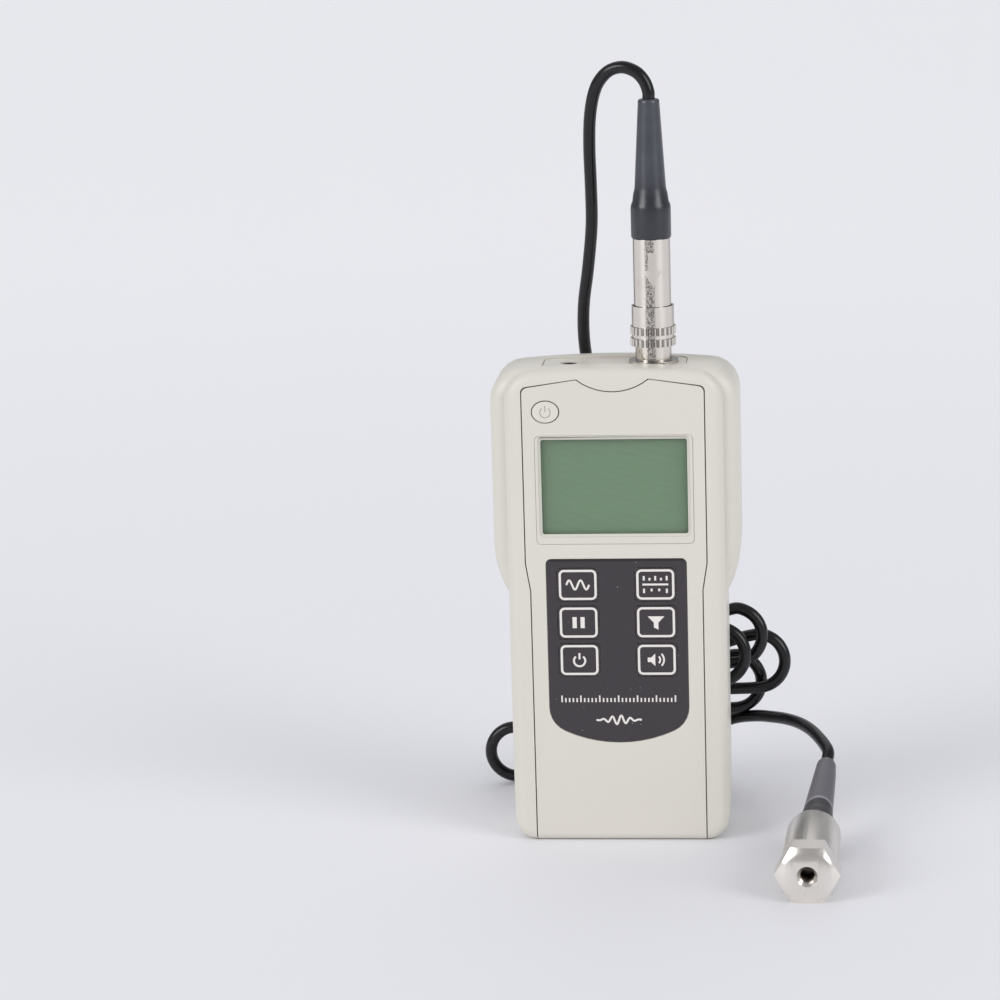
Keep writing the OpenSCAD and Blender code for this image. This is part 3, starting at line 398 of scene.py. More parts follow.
def plain(name, colour, roughness, metallic=0.0):
    """Finish of a part inside the case."""
    made = Finish(name, Metallic=metallic)
    made.set(
        Base_Color=made.mix(made.noise(300, 3), shade(colour, 0.85), shade(colour, 1.1)),
        Roughness=roughness + 0.08 * made.noise(600, 2),
    )
    return made.material


def laminate(name):
    """Green board with paler tracks."""
    made = Finish(name, Roughness=0.35)
    tracks = made.node(
        "ShaderNodeTexBrick", None, {"Vector": made.place(), "Scale": 160.0, "Mortar Size": 0.08}, output="Fac"
    )
    made.set(Base_Color=made.mix(tracks, linear(22, 84, 48), linear(48, 128, 76)))
    return made.material


def cell_sleeve(name):
    """Printed sleeve of a cell: two plain bands and a bare metal end."""
    made = Finish(name, Roughness=0.3)
    low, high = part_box("battery_cells")
    along = (made.axis("Z") - low.z) / (high.z - low.z)
    made.set(
        Base_Color=made.mix(along.over(0.7), linear(48, 62, 84), linear(190, 150, 70)),
        Metallic=0.2 + 0.7 * along.over(0.96),
    )
    return made.material


# Shapes


def add_piece(name, mesh, body, finish, replaced=()):
    """Links a mesh as a piece that rides on a body and stands for parts."""
    piece = bpy.data.objects.new(name, mesh)
    bpy.context.scene.collection.objects.link(piece)
    mesh.materials.clear()
    mesh.materials.append(finish)
    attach(piece, body)
    if replaced:
        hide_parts(*replaced)
    return piece


def mesh_from(bm, name):
    mesh = bpy.data.meshes.new(name)
    bm.to_mesh(mesh)
    bm.free()
    return mesh


def smooth_below(bm, degrees):
    """Shades faces smooth, with sharp edges where they meet at more than an angle."""
    limit = math.radians(degrees)
    for face in bm.faces:
        face.smooth = True
    for edge in bm.edges:
        edge.smooth = len(edge.link_faces) == 2 and edge.calc_face_angle(0) < limit


def merged(node):
    """A part's mesh as one skin, its flat faces joined."""
    mesh = frame["nodes"][node].data.copy()
    if "custom_normal" in mesh.attributes:
        mesh.attributes.remove(mesh.attributes["custom_normal"])
    bm = bmesh.new()
    bm.from_mesh(mesh)
    bpy.data.meshes.remove(mesh)
    bmesh.ops.remove_doubles(bm, verts=bm.verts, dist=0.002 * MM)
    bmesh.ops.dissolve_limit(
        bm, angle_limit=math.radians(0.2), verts=bm.verts, edges=bm.edges, use_dissolve_boundaries=False
    )
    return bm


def dressed(node, finish, edge, degrees=38):
    """A part with smooth rounds and small rounded edges, which stands for the part."""
    bm = merged(node)
    smooth_below(bm, degrees)
    name, body = node + "_skin", body_of(frame["nodes"][node])[0]
    piece = add_piece(name, mesh_from(bm, name), body, finish, [node])
    bevel = piece.modifiers.new("Edges", "BEVEL")
    bevel.limit_method = "ANGLE"
    bevel.angle_limit = math.radians(degrees)
    bevel.width = edge
    bevel.segments = 2
    bevel.profile = 0.5
    bevel.harden_normals = True
    bevel.use_clamp_overlap = True
    return piece


def finished(node, finish):
    """A part that keeps its own shape and gets a finish."""
    part = frame["nodes"][node]
    part.data.materials.clear()
    part.data.materials.append(finish)


def curve_data(name, strokes, radius, resolution):
    """A curve of open or closed lines. A stroke is (points, closed) or (points, closed, shares of the radius)."""
    curve = bpy.data.curves.new(name, "CURVE")
    curve.dimensions = "3D"
    curve.bevel_depth = radius
    curve.bevel_resolution = resolution
    curve.use_fill_caps = True
    for stroke in strokes:
        line = curve.splines.new("POLY")
        line.points.add(len(stroke[0]) - 1)
        line.use_cyclic_u = stroke[1]
        line.use_smooth = True
        for i, p in enumerate(stroke[0]):
            line.points[i].co = (*p, 1)
            line.points[i].radius = stroke[2][i] if len(stroke) > 2 else 1.0
    return curve


def curve_mesh(name, strokes, radius, resolution=2):
    """The same lines as a mesh."""
    curve = curve_data(name, strokes, radius, resolution)
    holder = bpy.data.objects.new(name, curve)
    bpy.context.scene.collection.objects.link(holder)
    bpy.context.view_layer.update()
    mesh = bpy.data.meshes.new_from_object(holder.evaluated_get(bpy.context.evaluated_depsgraph_get()))
    bpy.data.objects.remove(holder)
    bpy.data.curves.remove(curve)
    return mesh


def rounded_line(points, steps):
    """A smooth line through points (cubic, with slopes from the neighbours), each stretch cut into steps."""
    p = [Vector(q) for q in points]
    line = []
    for i in range(len(p) - 1):
        before, after = p[max(i - 1, 0)], p[min(i + 2, len(p) - 1)]
        a, b = p[i], p[i + 1]
        span = (b - a).length
        ta = (b - before) * (span / max((b - a).length + (a - before).length, 1e-9))
        tb = (after - a) * (span / max((b - a).length + (after - b).length, 1e-9))
        for k in range(steps):
            u = k / steps
            shares = (2 * u**3 - 3 * u**2 + 1, u**3 - 2 * u**2 + u, 3 * u**2 - 2 * u**3, u**3 - u**2)
            line.append(a * shares[0] + ta * shares[1] + b * shares[2] + tb * shares[3])
    line.append(p[-1])
    return line


def turned(name, profile, centre):
    """A closed skin turned round a vertical axis from a profile of (radius, height)."""
    bm = bmesh.new()
    verts = [bm.verts.new((r, 0, z)) for r, z in profile]
    edges = [bm.edges.new(pair) for pair in zip(verts, verts[1:])]
    bmesh.ops.spin(
        bm, geom=verts + edges, cent=(0, 0, 0), axis=(0, 0, 1), angle=math.tau, steps=64, use_merge=True
    )
    bmesh.ops.remove_doubles(bm, verts=bm.verts, dist=0.001 * MM)
    bmesh.ops.recalc_face_normals(bm, faces=bm.faces)
    bmesh.ops.translate(bm, vec=centre, verts=bm.verts)
    smooth_below(bm, 40)
    return mesh_from(bm, name)


# Lead: the same route as the solid's

COIL_REACH, COIL_HIGH, COIL_END, COIL_STEP, COIL_Y, COIL_WAIST = 43.0, 46.3, 7.4, 2.75, 16.1, 3.0
COIL_HALVES, ARC_RINGS, RUN_RINGS, ARC_SHARE = 9, 8, 4, 0.6
REACH_SHARES = (0.56, 0.755, 0.535, 0.86, 0.56, 1, 0.56, 0.845, 0.93)
HEIGHT_SHARES = (0.67, 0.914, 0.583, 1, 0.497, 0.812, 0.389, 0.654, 0.2)
COIL_START, COIL_FINISH = (4, 41), (6, 8)
UPPER_ROUTE = (
    (9.2, 0.3, 200.6), (7, 0.8, 203), (3.4, 1.8, 204.2), (-0.4, 3, 203),
    (-3.6, 4.6, 199), (-5.4, 6.4, 192), (-6, 8.4, 183), (-6, 10.6, 173),
    (-6.2, 13, 162), (-7.6, 15.6, 150), (-9.2, 17.6, 139), (-9.2, 19, 128),
    (-7.2, 19.4, 118), (-2.8, 18.8, 106), (3, 17.8, 94), (8.6, 16.9, 82),
    (12.8, 16.4, 71), (15.2, 16.2, 61), (15.4, 16.1, 52.6), (12.8, 16.1, 45.4),
)
LOWER_ROUTE = (
    (15.4, 40.8, 10.6), (21.4, 40.6, 15.2), (28.2, 38.6, 19), (34.6, 34.6, 20.9), (39.6, 29.5, 22),
    (43.5, 24.5, 22.8), (47.1, 19, 23.2), (50, 13.5, 23), (52.1, 8.5, 22.4), (53.8, 3.8, 21.6),
)
BOOT_ROUTE = ((51.9, -21, 9.1), (52.9, -14.5, 12.7), (53.9, -8, 16.3))
BOOT_END = (54.5, -3, 19)
BOOT_RADII = (5.3, 2.6)

# Sensor: middle of its face, the way that its axis runs back, its length, and the radius of its hole

SENSOR_FACE = Vector((49.6, -65, 7.25))
SENSOR_TURN = math.radians(2.5)
SENSOR_WAY = Vector((math.sin(SENSOR_TURN), math.cos(SENSOR_TURN), 0))
SENSOR_LENGTH = 35
SENSOR_BORE = 2.1

# Camera, fitted to the photo: its place, its lens as a share of the sensor's width, and its angles in degrees

CAMERA_AT = Vector((59.9, -900, 286.7))
CAMERA_LENS = 3.4824
CAMERA_YAW, CAMERA_PITCH, CAMERA_ROLL = 5.793, 12.245, -1.705


def coil_route(lead):
    """Points of the wound part, in millimetres: turn ends joined by runs."""

    def depth(half):
        return COIL_Y + COIL_STEP * (half - 0.5)

    def turn(k):
        side = 1 if k % 2 == 0 else -1
        x, z = side * (COIL_REACH * REACH_SHARES[k - 1] - COIL_END), COIL_HIGH * HEIGHT_SHARES[k - 1]
        points = []
        for i in range(ARC_RINGS):
            u = i / (ARC_RINGS - 1)
            a = math.radians(180 * u - 90 + (180 if side < 0 else 0))
            y = depth(k + (u - 0.5) * ARC_SHARE)
            points.append(Vector((x + COIL_END * math.cos(a), y, z + COIL_END * math.sin(a))))
        return points

    def run(p, q, waist, ends=(1, RUN_RINGS)):
        points = []
        for i in range(ends[0], ends[1] + 1):
            u = i / (RUN_RINGS + 1)
            point = p.lerp(q, u)
            point.z = p.z + (q.z - p.z) * u * u * (3 - 2 * u) + waist * math.sin(math.pi * u) ** 2
            points.append(point)
        return points

    first = Vector((COIL_START[0], depth(0.5), COIL_START[1]))
    last = Vector((COIL_FINISH[0], depth(COIL_HALVES + 0.5), COIL_FINISH[1]))
    straight = Vector((lead, 0, 0))
    route = [first, first - straight, *run(first - straight, turn(1)[0], 0, (2, RUN_RINGS)), *turn(1)]
    for k in range(2, COIL_HALVES + 1):
        side = 1 if k % 2 == 0 else -1
        route += run(turn(k - 1)[-1], turn(k)[0], side * COIL_WAIST) + turn(k)
    route += run(turn(COIL_HALVES)[-1], last - straight, 0, (1, RUN_RINGS - 1)) + [last - straight, last]
    return route


class METER_OT_camera(bpy.types.Operator):
    """Sets the camera in front of the meter, a little to the right and above"""

    bl_idname = "meter.camera"
    bl_label = "Camera"

    def execute(self, context):
        lens = bpy.data.cameras.new("camera")
        camera = bpy.data.objects.new("camera", lens)
        context.scene.collection.objects.link(camera)
        lens.sensor_width = 36
        lens.lens = CAMERA_LENS * lens.sensor_width
        lens.clip_start, lens.clip_end = 0.05, 40
        yaw, pitch, roll = (math.radians(a) for a in (CAMERA_YAW, CAMERA_PITCH, CAMERA_ROLL))
        ahead = Vector((-math.sin(yaw) * math.cos(pitch), math.cos(yaw) * math.cos(pitch), -math.sin(pitch)))
        right = Vector((math.cos(yaw), math.sin(yaw), 0))
        up = right.cross(ahead)
        right, up = right * math.cos(roll) + up * math.sin(roll), up * math.cos(roll) - right * math.sin(roll)
        turn = Matrix((right, up, -ahead)).transposed().to_4x4()
        camera.matrix_world = Matrix.Translation(CAMERA_AT * MM) @ turn
        context.scene.camera = camera
        return {"FINISHED"}


class METER_OT_lead(bpy.types.Operator):
    """Lays the lead from the plug to the sensor, its middle wound behind the case, with its tie"""

    bl_idname = "meter.lead"
    bl_label = "Lead"

    def execute(self, context):
        diameter = sizes().lead_diameter
        lead = diameter / MM
        plug_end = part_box("plug_boot")[1].z / MM
        start = Vector((PLUG_X / MM, 0, plug_end))
        coil = coil_route(lead)
        end, aside = Vector(BOOT_END), Vector((lead, 0, 0))
        lean = (end - Vector(BOOT_ROUTE[-1])).normalized()
        upper = [start, start + Vector((0, 0, lead / 2)), *map(Vector, UPPER_ROUTE), coil[0] + aside]
        lower = [coil[-1] + aside, *map(Vector, LOWER_ROUTE), end + lean * lead, end]
        route = [p * MM for p in rounded_line(upper + coil + lower, 4)]
        curve = curve_data("lead", [(route, False)], diameter / 2, 5)
        curve.materials.append(rubbery("lead_sleeve", colours().lead, 0.22, shine=0.45))
        piece = bpy.data.objects.new("lead", curve)
        context.scene.collection.objects.link(piece)
        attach(piece, "meter")
        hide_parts("cord_upper", "cord_coil", "cord_lower")
        tie = dressed("coil_tie", rubbery("tie_strap", linear(28, 28, 30), 0.6), 0.1 * MM)
        length = sum((b - a).length for a, b in zip(route, route[1:]))
        return {"FINISHED"}


class METER_OT_boots(bpy.types.Operator):
    """Makes the soft strain reliefs of plug and sensor"""

    bl_idname = "meter.boots"
    bl_label = "Strain reliefs"

    def execute(self, context):
        self.plug_boot()
        self.sensor_boot()
        return {"FINISHED"}

    def plug_boot(self):
        """A band, a shoulder and a long taper, turned round the plug's axis."""
        low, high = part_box("plug_boot")
        foot, top, wide = low.z, high.z, (high.x - low.x) / 2 / MM
        lead = sizes().lead_diameter / 2 / MM
        neck, tip, seat, tail = 4.15, 2.8, 3.15, 6.15
        band, shoulder = 9.3, 12.4
        from_foot = [
            (0, tail), (seat, tail), (seat, 0), (wide - 0.5, 0), (wide - 0.15, 0.12), (wide, 0.5),
            (wide, band - 1.4), (wide - 0.12, band - 0.6), (wide - 0.5, band + 0.3),
            (neck + 0.32, shoulder - 0.7), (neck + 0.06, shoulder + 0.2), (neck - 0.05, shoulder + 1),
        ]
        from_top = [
            (tip + 0.02, -1), (tip - 0.02, -0.4), (tip - 0.3, -0.06), (tip - 0.5, 0),
            (lead + 0.25, 0), (lead + 0.1, -0.5), (0, -0.5),
        ]
        profile = [(r * MM, foot + z * MM) for r, z in from_foot] + [(r * MM, top + z * MM) for r, z in from_top]
        # Paler band up the boot's taper: dust and a painted highlight.
        dust_and_highlight = (foot + 9 * MM, foot + 19 * MM, linear(76, 79, 89))
        finish = rubbery("boot_rubber", colours().boots, 0.3, 1.0, dust_and_highlight=dust_and_highlight)
        mesh = turned("plug_boot_skin", profile, (PLUG_X, 0, 0))
        add_piece("plug_boot_skin", mesh, "meter", finish, ["plug_boot"])

    def sensor_boot(self):
        """A bent taper with a ridge round it and a rounded tip."""
        start = SENSOR_FACE + SENSOR_LENGTH * SENSOR_WAY
        lead_mm = sizes().lead_diameter / MM
        route = [start, start + lead_mm * SENSOR_WAY, *map(Vector, BOOT_ROUTE), Vector(BOOT_END)]
        line = rounded_line(route, 10)
        ridge, ridge_share, rounded = 0.42, 0.06, 0.93
        radii = []
        for i in range(len(line)):
            share = i / (len(line) - 1)
            radius = BOOT_RADII[0] + (BOOT_RADII[1] - BOOT_RADII[0]) * share
            if share < ridge - ridge_share:
                radius -= 0.12
            elif share >= ridge:
                radius -= 0.18
            if share > rounded:
                radius -= 0.9 * ((share - rounded) / (1 - rounded)) ** 2
            radii.append(radius * MM)
        mesh = curve_mesh("sensor_boot_skin", [([p * MM for p in line], False, radii)], 1.0, 10)
        mesh.shade_smooth()
        foot = (SENSOR_FACE.y + SENSOR_LENGTH + 10.2) * MM
        # The boot's pale grey includes painted sheen.
        finish = rubbery("painted_sheen_rubber", colours().dust_and_sheen, 0.4, 0.8, foot)
        add_piece("sensor_boot_skin", mesh, "meter", finish, ["sensor_boot"])


class METER_OT_plug(bpy.types.Operator):
    """Plates the socket and the plug and lays the arrow on its barrel"""

    bl_idname = "meter.plug"
    bl_label = "Socket and plug"

    def execute(self, context):
        edge = sizes().metal_edge
        round_lines = (0.02, 0.02, 1)
        # Painted dark reflection down the plug's front, and painted shade in the knurls' hollows.
        band, painted_shade_grooves = (PLUG_X - 0.3 * MM, 1.5 * MM), (5.6 * MM, 6 * MM)
        nickel = plated("nickel", colours().nickel, round_lines, 0.12, band=band)
        knurled = plated("knurled_nickel", colours().nickel, round_lines, 0.14, 0.3, band=band, painted_shade_grooves=painted_shade_grooves)
        dressed("sensor_socket", nickel, edge)
        dressed("plug_barrel", nickel, edge)
        dressed("plug_collar", knurled, 0.08 * MM)
        dressed("socket_nut", nickel, edge)
        self.arrow()
        return {"FINISHED"}

    def arrow(self):
        """A flat arrow that points down, wrapped on the barrel."""
        radius = (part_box("plug_barrel")[1].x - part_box("plug_barrel")[0].x) / 2
        top, neck, tip = (PLATE_TOP + h * MM for h in (29.4, 24.7, 20.3))
        head, shaft = sizes().arrow_w / 2, sizes().arrow_shaft / 2
        thickness, proud, strips, lean = 0.05 * MM, 0.03 * MM, 7, math.radians(6)
        outline = [(-shaft, top), (-shaft, neck), (-head, neck), (0, tip), (head, neck), (shaft, neck), (shaft, top)]
        bm = bmesh.new()
        bm.faces.new([bm.verts.new((x, 0, z)) for x, z in outline])
        for k in range(1 - strips, strips):
            cut = bm.verts[:] + bm.edges[:] + bm.faces[:]
            bmesh.ops.bisect_plane(bm, geom=cut, plane_co=(k * head / strips, 0, 0), plane_no=(1, 0, 0), dist=1e-7)
        bmesh.ops.solidify(bm, geom=bm.faces[:], thickness=thickness)
        depths = [v.co.y for v in bm.verts]
        for v in bm.verts:
            r = radius + proud - (v.co.y - min(depths))
            a = v.co.x / radius + lean
            v.co = Vector((PLUG_X + r * math.sin(a), -r * math.cos(a), v.co.z))
        bmesh.ops.recalc_face_normals(bm, faces=bm.faces)
        smooth_below(bm, 30)
        frosted = plated("frosted_nickel", shade(colours().nickel, 0.98), (1, 1, 1), 0.5, 0.2)
        add_piece("plug_arrow", mesh_from(bm, "plug_arrow"), "meter", frosted)


class METER_OT_sensor(bpy.types.Operator):
    """Finishes the sensor and cuts the thread in its face"""

    bl_idname = "meter.sensor"
    bl_label = "Sensor"

    def execute(self, context):
        edge = sizes().metal_edge
        round_lines = (0.02, 1, 0.02)
        # The hole's inside gets painted shade.
        steel = plated("turned_steel", colours().steel, round_lines, 0.22, 0.25, 0.001 * MM, hole=SENSOR_FACE * MM)
        dressed("sensor_base", steel, edge)
        dressed("sensor_housing", steel, edge)
        self.thread(steel)
        return {"FINISHED"}

    def thread(self, steel):
        """A helical ridge inside the mounting hole."""
        bore, pitch, depth, turns, steps = SENSOR_BORE * MM, 0.8 * MM, 0.7 * MM, 6, 20
        bm = bmesh.new()
        ridge = [(bore + 0.02 * MM, -0.36 * pitch), (bore - 0.32 * MM, 0), (bore + 0.02 * MM, 0.36 * pitch)]
        verts = [bm.verts.new((r, y, 0)) for r, y in ridge]
        face_made = bm.faces.new(verts)
        geometry = [face_made, *face_made.edges, *verts]
        bmesh.ops.spin(
            bm, geom=geometry, cent=(0, 0, 0), axis=(0, 1, 0), angle=math.tau * turns, steps=steps * turns,
            dvec=(0, pitch / steps, 0), use_merge=False,
        )
        bmesh.ops.remove_doubles(bm, verts=bm.verts, dist=0.001 * MM)
        bmesh.ops.recalc_face_normals(bm, faces=bm.faces)
        place = Matrix.Translation(SENSOR_FACE * MM) @ Matrix.Rotation(-SENSOR_TURN, 4, "Z")
        bmesh.ops.transform(bm, matrix=place @ Matrix.Translation((0, depth, 0)), verts=bm.verts)
        smooth_below(bm, 30)
        add_piece("sensor_thread", mesh_from(bm, "sensor_thread"), "meter", steel)


class METER_OT_case(bpy.types.Operator):
    """Finishes the case, its door, its screws and the connector plate"""

    bl_idname = "meter.case"
    bl_label = "Case"

    def execute(self, context):
        edge = sizes().shell_edge
        shell = moulded("moulded_shell", colours().shell)
        dressed("case_body", shell, edge, 40)
        dressed("front_panel", shell, edge)
        dressed("battery_door", shell, edge)
        dressed("connector_plate", moulded("moulded_plate", shade(colours().shell, 0.97)), 0.15 * MM)
        dressed("jack_socket", rubbery("jack_black", linear(34, 34, 40), 0.3), 0.1 * MM)
        self.screws()
        return {"FINISHED"}

    def screws(self):
        """Case screws with a cross recess in each head."""
        bm = merged("case_screws")
        smooth_below(bm, 38)
        finish = plated("screw_steel", linear(190, 190, 192), (1, 1, 1), 0.3)
        name = "case_screws_skin"
        piece = add_piece(name, mesh_from(bm, name), "meter", finish, ["case_screws"])
        low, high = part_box("case_screws")
        head, lower_x, grip_top = 2 * MM, 18 * MM, 50 * MM
        cutter = bmesh.new()
        for x in (low.x + head, high.x - head):
            for z in (low.z + head, high.z - head):
                place_x = math.copysign(lower_x, x) if z < grip_top else x
                for angle in (0, math.pi / 2):
                    turn = Matrix.Rotation(angle + 0.4, 4, "Y")
                    box = Matrix.Diagonal((2.4 * MM, 1.6 * MM, 0.5 * MM, 1))
                    bmesh.ops.create_cube(cutter, size=1, matrix=Matrix.Translation((place_x, high.y, z)) @ turn @ box)
        tool = bpy.data.objects.new("screw_cutter", mesh_from(cutter, "screw_cutter"))
        context = bpy.context
        context.scene.collection.objects.link(tool)
        cut = piece.modifiers.new("Recess", "BOOLEAN")
        cut.object, cut.operation, cut.solver = tool, "DIFFERENCE", "EXACT"
        cut.use_self = True
        context.view_layer.update()
        mesh = bpy.data.meshes.new_from_object(piece.evaluated_get(context.evaluated_depsgraph_get()))
        piece.modifiers.clear()
        piece.data = mesh
        bpy.data.objects.remove(tool)


class METER_OT_front(bpy.types.Operator):
    """Finishes the display, its bezel and its window"""

    bl_idname = "meter.front"
    bl_label = "Display"

    def execute(self, context):
        dressed("display_bezel", moulded("soft_bezel", colours().bezel, 0.45), 0.2 * MM)
        finished("display_window", clear_cover("clear_window"))
        finished("display_glass", display_film("display_film", colours().display))
        return {"FINISHED"}


class METER_OT_keypad(bpy.types.Operator):
    """Finishes the keypad and prints plain symbols on its keys"""

    bl_idname = "meter.keypad"
    bl_label = "Keypad"

    def execute(self, context):
        film = keypad_film("keypad_film", colours().keypad)
        legend = moulded("legend_ink", colours().legend, 0.5)
        dressed("keypad_overlay", film, 0.08 * MM)
        for key in KEYS:
            dressed(key, film, 0.06 * MM)
            self.print_on(key + "_print", key, legend, *self.symbol(key), middle(key))
        scale_centre = Vector((-0.1, 0, 36.4)) * MM
        self.print_on("scale_print", "meter", legend, *self.scale(), scale_centre)
        return {"FINISHED"}

    def print_on(self, name, body, legend, strokes, fills, centre):
        """Ink of lines and filled shapes, in millimetres from a centre, laid on the keypad's face."""
        at = Matrix.Translation((centre.x, FRONT, centre.z))
        bm = bmesh.new()
        for points, closed, width in strokes:
            line = curve_mesh(name, [([(x * MM, 0, z * MM) for x, z in points], closed)], width / 2)
            line.transform(Matrix.Diagonal((1, 2 * sizes().ink / width, 1, 1)))
            bm.from_mesh(line)
            bpy.data.meshes.remove(line)
        for outline in fills:
            face = bm.faces.new([bm.verts.new((x * MM, -sizes().ink, z * MM)) for x, z in outline])
            side = bmesh.ops.extrude_face_region(bm, geom=[face])
            moved = [v for v in side["geom"] if isinstance(v, bmesh.types.BMVert)]
            bmesh.ops.translate(bm, vec=(0, 1.5 * sizes().ink, 0), verts=moved)
        bmesh.ops.recalc_face_normals(bm, faces=bm.faces)
        mesh = mesh_from(bm, name)
        mesh.transform(at)
        add_piece(name, mesh, body, legend)

    def symbol(self, key):
        """Outline and symbol of a key, as lines and filled shapes."""
        s = sizes()
        w, h, r = s.key_outline_w / MM / 2, s.key_outline_h / MM / 2, s.key_outline_r / MM
        w, h = w - s.print_line / MM / 2, h - s.print_line / MM / 2
        box = []
        for cx, cz, start in ((w - r, h - r, 0), (r - w, h - r, 90), (r - w, r - h, 180), (w - r, r - h, 270)):
            for i in range(7):
                a = math.radians(start + 15 * i)
                box.append((cx + r * math.cos(a), cz + r * math.sin(a)))
        lines, fills = [(box, True, s.print_line)], []
        line = s.symbol_line
        if key == "key_function":
            lines.append(([(x / 5, 1.25 * math.sin(math.radians(24 * x))) for x in range(-15, 16)], False, line))
        elif key == "key_hold":
            for x in (-1.6, 0.5):
                fills.append([(x, -1.5), (x + 1.1, -1.5), (x + 1.1, 1.5), (x, 1.5)])
        elif key == "key_power":
            arc = [(1.5 * math.sin(math.radians(a)), 1.5 * math.cos(math.radians(a)) - 0.2) for a in range(40, 321, 14)]
            lines += [(arc, False, line), ([(0, 0.2), (0, 1.9)], False, line)]
        elif key == "key_units":
            lines.append(([(-3.4, 0), (3.4, 0)], False, line))
            for i in range(5):
                lines.append(([(-3 + 1.5 * i, 1.1), (-3 + 1.5 * i, 2.3 if i % 2 == 0 else 1.8)], False, line))
            for i in range(4):
                lines.append(([(-3 + 2 * i, -1.1), (-3 + 2 * i, -2.3 if i % 3 == 0 else -1.8)], False, line))
        elif key == "key_filter":
            fills.append([(-2.2, 1.6), (-0.6, -0.1), (-0.6, -1.4), (0.6, -2), (0.6, -0.1), (2.2, 1.6)])
        else:
            fills.append([(-2.4, -0.6), (-1.5, -0.6), (-0.4, -1.7), (-0.4, 1.7), (-1.5, 0.6), (-2.4, 0.6)])
            for radius in (1.3, 2.3):
                angles = [math.radians(a) for a in range(-44, 45, 8)]
                wave = [(radius * math.cos(a) - 0.4, radius * math.sin(a)) for a in angles]
                lines.append((wave, False, line * 0.9))
        return lines, fills

    def scale(self):
        """A plain row of ticks over a short wave, where the name of such a meter stands."""
        lines = []
        for i in range(31):
            lines.append(([(i - 15, 2), (i - 15, 3.8 if i % 5 == 0 else 3.1)], False, sizes().symbol_line * 0.75))
        wave = []
        for x in range(-30, 31):
            swing = math.sin(math.radians(30 * x)) * math.exp(-((x / 17) ** 2))
            wave.append((x / 5, 1.25 * swing - 2.9))
        lines.append((wave, False, sizes().symbol_line))
        return lines, []


class METER_OT_power_button(bpy.types.Operator):
    """Finishes the oval power button and its mark"""

    bl_idname = "meter.power_button"
    bl_label = "Power button"

    def execute(self, context):
        dressed("power_button", moulded("button_plastic", colours().button, 0.35), 0.2 * MM)
        face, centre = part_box("power_button")[0].y, middle("power_button")
        arc = [(1.35 * math.sin(math.radians(a)), 1.35 * math.cos(math.radians(a)) - 0.1) for a in range(36, 325, 12)]
        strokes = []
        for points in (arc, [(0, 0.1), (0, 1.75)]):
            strokes.append(([(x * MM, 0, z * MM) for x, z in points], False))
        mesh = curve_mesh("power_mark", strokes, 0.14 * MM)
        mesh.transform(Matrix.Translation((centre.x, face, centre.z)) @ Matrix.Diagonal((1, 0.3, 1, 1)))
        add_piece("power_mark", mesh, "power_button", moulded("mark_grey", linear(176, 172, 162), 0.5))
        return {"FINISHED"}


class METER_OT_inside(bpy.types.Operator):
    """Finishes the parts inside the case and the sensor"""

    bl_idname = "meter.inside"
    bl_label = "Inside"

    def execute(self, context):
        steel = plain("spring_steel", linear(196, 196, 198), 0.25, 1.0)
        black = plain("black_plastic", linear(40, 40, 42), 0.4)
        finishes = {
            "display_holder": plain("white_plastic", linear(236, 236, 232), 0.4),
            "main_board": laminate("board_laminate"),
            "board_chips": black, "power_switch": black, "plug_insert": black,
            "socket_insert": plain("cream_plastic", linear(232, 226, 206), 0.4),
            "battery_cells": cell_sleeve("cell_sleeve"),
            "socket_wires": plain("wire_red", linear(170, 40, 34), 0.4),
            "sensor_crystal": plain("crystal", linear(232, 226, 212), 0.5),
            "sensor_mass": plain("mass_steel", linear(160, 160, 164), 0.3, 1.0),
        }
        for node in (
            "key_domes", "board_screws", "battery_contacts", "battery_springs", "collar_spring", "sensor_stud",
        ):
            finishes[node] = steel
        for node, finish in finishes.items():
            finished(node, finish)
        return {"FINISHED"}


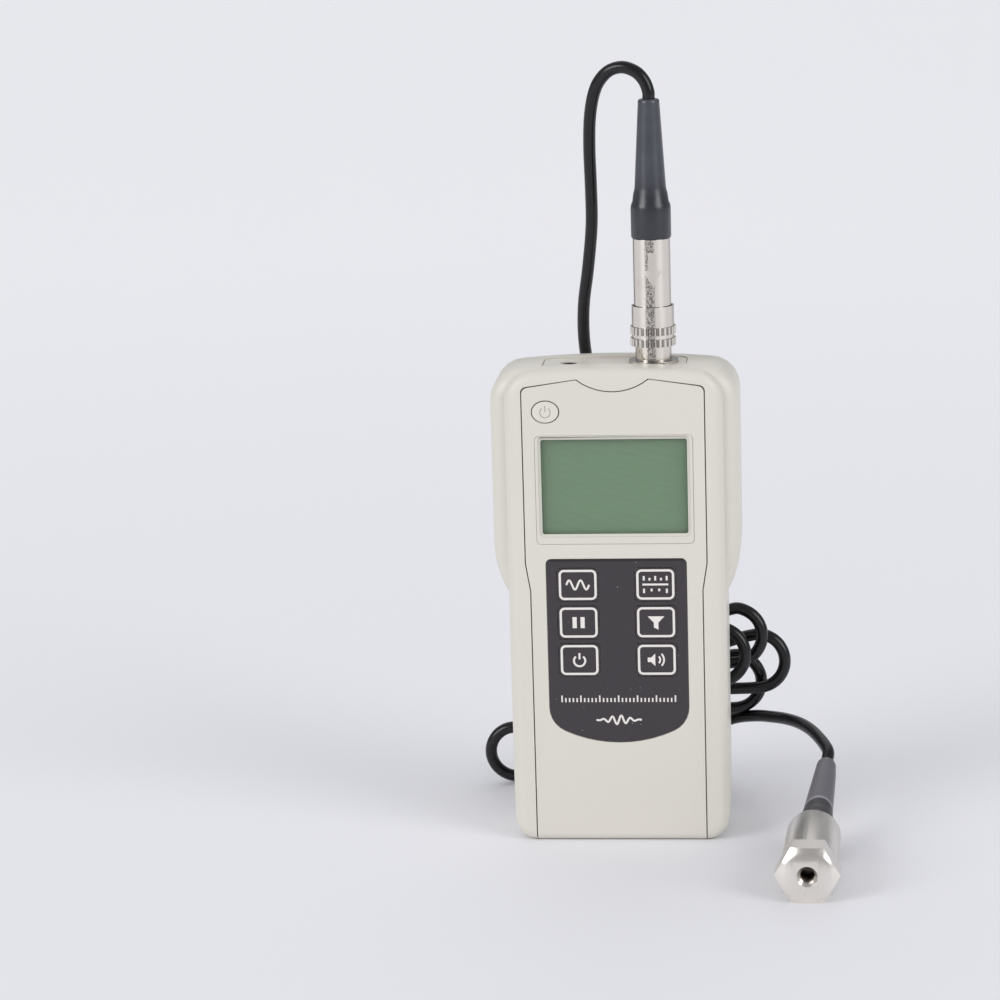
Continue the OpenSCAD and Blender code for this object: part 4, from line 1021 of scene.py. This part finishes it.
class METER_OT_stage(bpy.types.Operator):
    """Adds a pale floor, a pale surrounding and soft lamps"""

    bl_idname = "meter.stage"
    bl_label = "Stage"

    def execute(self, context):
        bm = bmesh.new()
        bmesh.ops.create_circle(bm, cap_ends=True, segments=96, radius=sizes().floor_radius)
        floor = bpy.data.objects.new("floor", mesh_from(bm, "floor"))
        context.scene.collection.objects.link(floor)
        paper = Finish("pale_floor", Roughness=0.55, Specular_IOR_Level=0.3)
        # Painted shade near the meter and painted light far off: the floor's colour lightens with distance.
        away = paper.node("ShaderNodeVectorMath", {"operation": "LENGTH"}, {0: paper.place()}, output="Value")
        paper.set(Base_Color=paper.mix(away.between(0.05, 1.2), colours().floor, colours().distance))
        paper.bump(paper.noise(900, 3), 0.01 * MM, 0.3)
        floor.data.materials.append(paper.material)
        self.surrounding(context)
        for name, way, power, width in (
            ("sun_left", (0.7, 0.56, -0.42), 1.04, 34),
            ("sun_right", (-0.74, 0.5, -0.45), 0.9, 34),
            ("sun_back", (0.15, -0.75, -0.7), 0.3, 60),
        ):
            self.sun(context, name, Vector(way), power, math.radians(width))
        context.scene.view_settings.view_transform = "Standard"
        return {"FINISHED"}

    def sun(self, context, name, way, power, width):
        data = bpy.data.lights.new(name, "SUN")
        data.energy, data.angle = power, width
        lamp = bpy.data.objects.new(name, data)
        context.scene.collection.objects.link(lamp)
        lamp.rotation_mode = "QUATERNION"
        lamp.rotation_quaternion = way.to_track_quat("-Z", "Y")

    def surrounding(self, context):
        """A world that lights evenly, that the camera sees as the pale distance, and that metal sees darker."""
        world = bpy.data.worlds.new("surrounding")
        context.scene.world = world
        world.use_nodes = True
        tree = world.node_tree
        back = tree.nodes["Background"]
        rays = tree.nodes.new("ShaderNodeLightPath")
        seen = tree.nodes.new("ShaderNodeMath")
        seen.operation = "ADD"
        seen.use_clamp = True
        tree.links.new(rays.outputs["Is Camera Ray"], seen.inputs[0])
        tree.links.new(rays.outputs["Is Transmission Ray"], seen.inputs[1])
        strength = tree.nodes.new("ShaderNodeMapRange")
        lit, behind, darker = 0.64, 1.0, 0.22
        strength.inputs["To Min"].default_value = lit
        strength.inputs["To Max"].default_value = behind
        tree.links.new(seen.outputs[0], strength.inputs["Value"])
        mirrored = tree.nodes.new("ShaderNodeMath")
        mirrored.operation = "MULTIPLY_ADD"
        mirrored.inputs[1].default_value = -darker
        tree.links.new(rays.outputs["Is Glossy Ray"], mirrored.inputs[0])
        tree.links.new(strength.outputs[0], mirrored.inputs[2])
        tree.links.new(mirrored.outputs[0], back.inputs["Strength"])
        back.inputs["Color"].default_value = (*linear(237, 238, 242), 1)


class METER_PT_panel(bpy.types.Panel):
    """Lists the steps that finish the meter"""

    bl_idname = "METER_PT_panel"
    bl_label = "Vibration meter"
    bl_space_type = "VIEW_3D"
    bl_region_type = "UI"
    bl_category = "Vibration meter"

    def draw(self, context):
        for operator in OPERATORS:
            self.layout.operator(operator.bl_idname)
        for group in (context.scene.meter_sizes, context.scene.meter_colours):
            for name in group.bl_rna.properties.keys():
                if name not in ("rna_type", "name"):
                    self.layout.prop(group, name)


OPERATORS = (
    METER_OT_camera, METER_OT_lead, METER_OT_boots, METER_OT_plug, METER_OT_sensor, METER_OT_case,
    METER_OT_front, METER_OT_keypad, METER_OT_power_button, METER_OT_inside, METER_OT_stage,
)
CLASSES = (MeterSizes, MeterColours, *OPERATORS, METER_PT_panel)


def register():
    for item in CLASSES:
        bpy.utils.register_class(item)
    bpy.types.Scene.meter_sizes = bpy.props.PointerProperty(type=MeterSizes)
    bpy.types.Scene.meter_colours = bpy.props.PointerProperty(type=MeterColours)


def unregister():
    del bpy.types.Scene.meter_colours
    del bpy.types.Scene.meter_sizes
    for item in reversed(CLASSES):
        bpy.utils.unregister_class(item)


def main():
    register()
    for operator in OPERATORS:
        group, name = operator.bl_idname.split(".")
        getattr(getattr(bpy.ops, group), name)()


if __name__ == "__main__":
    main()
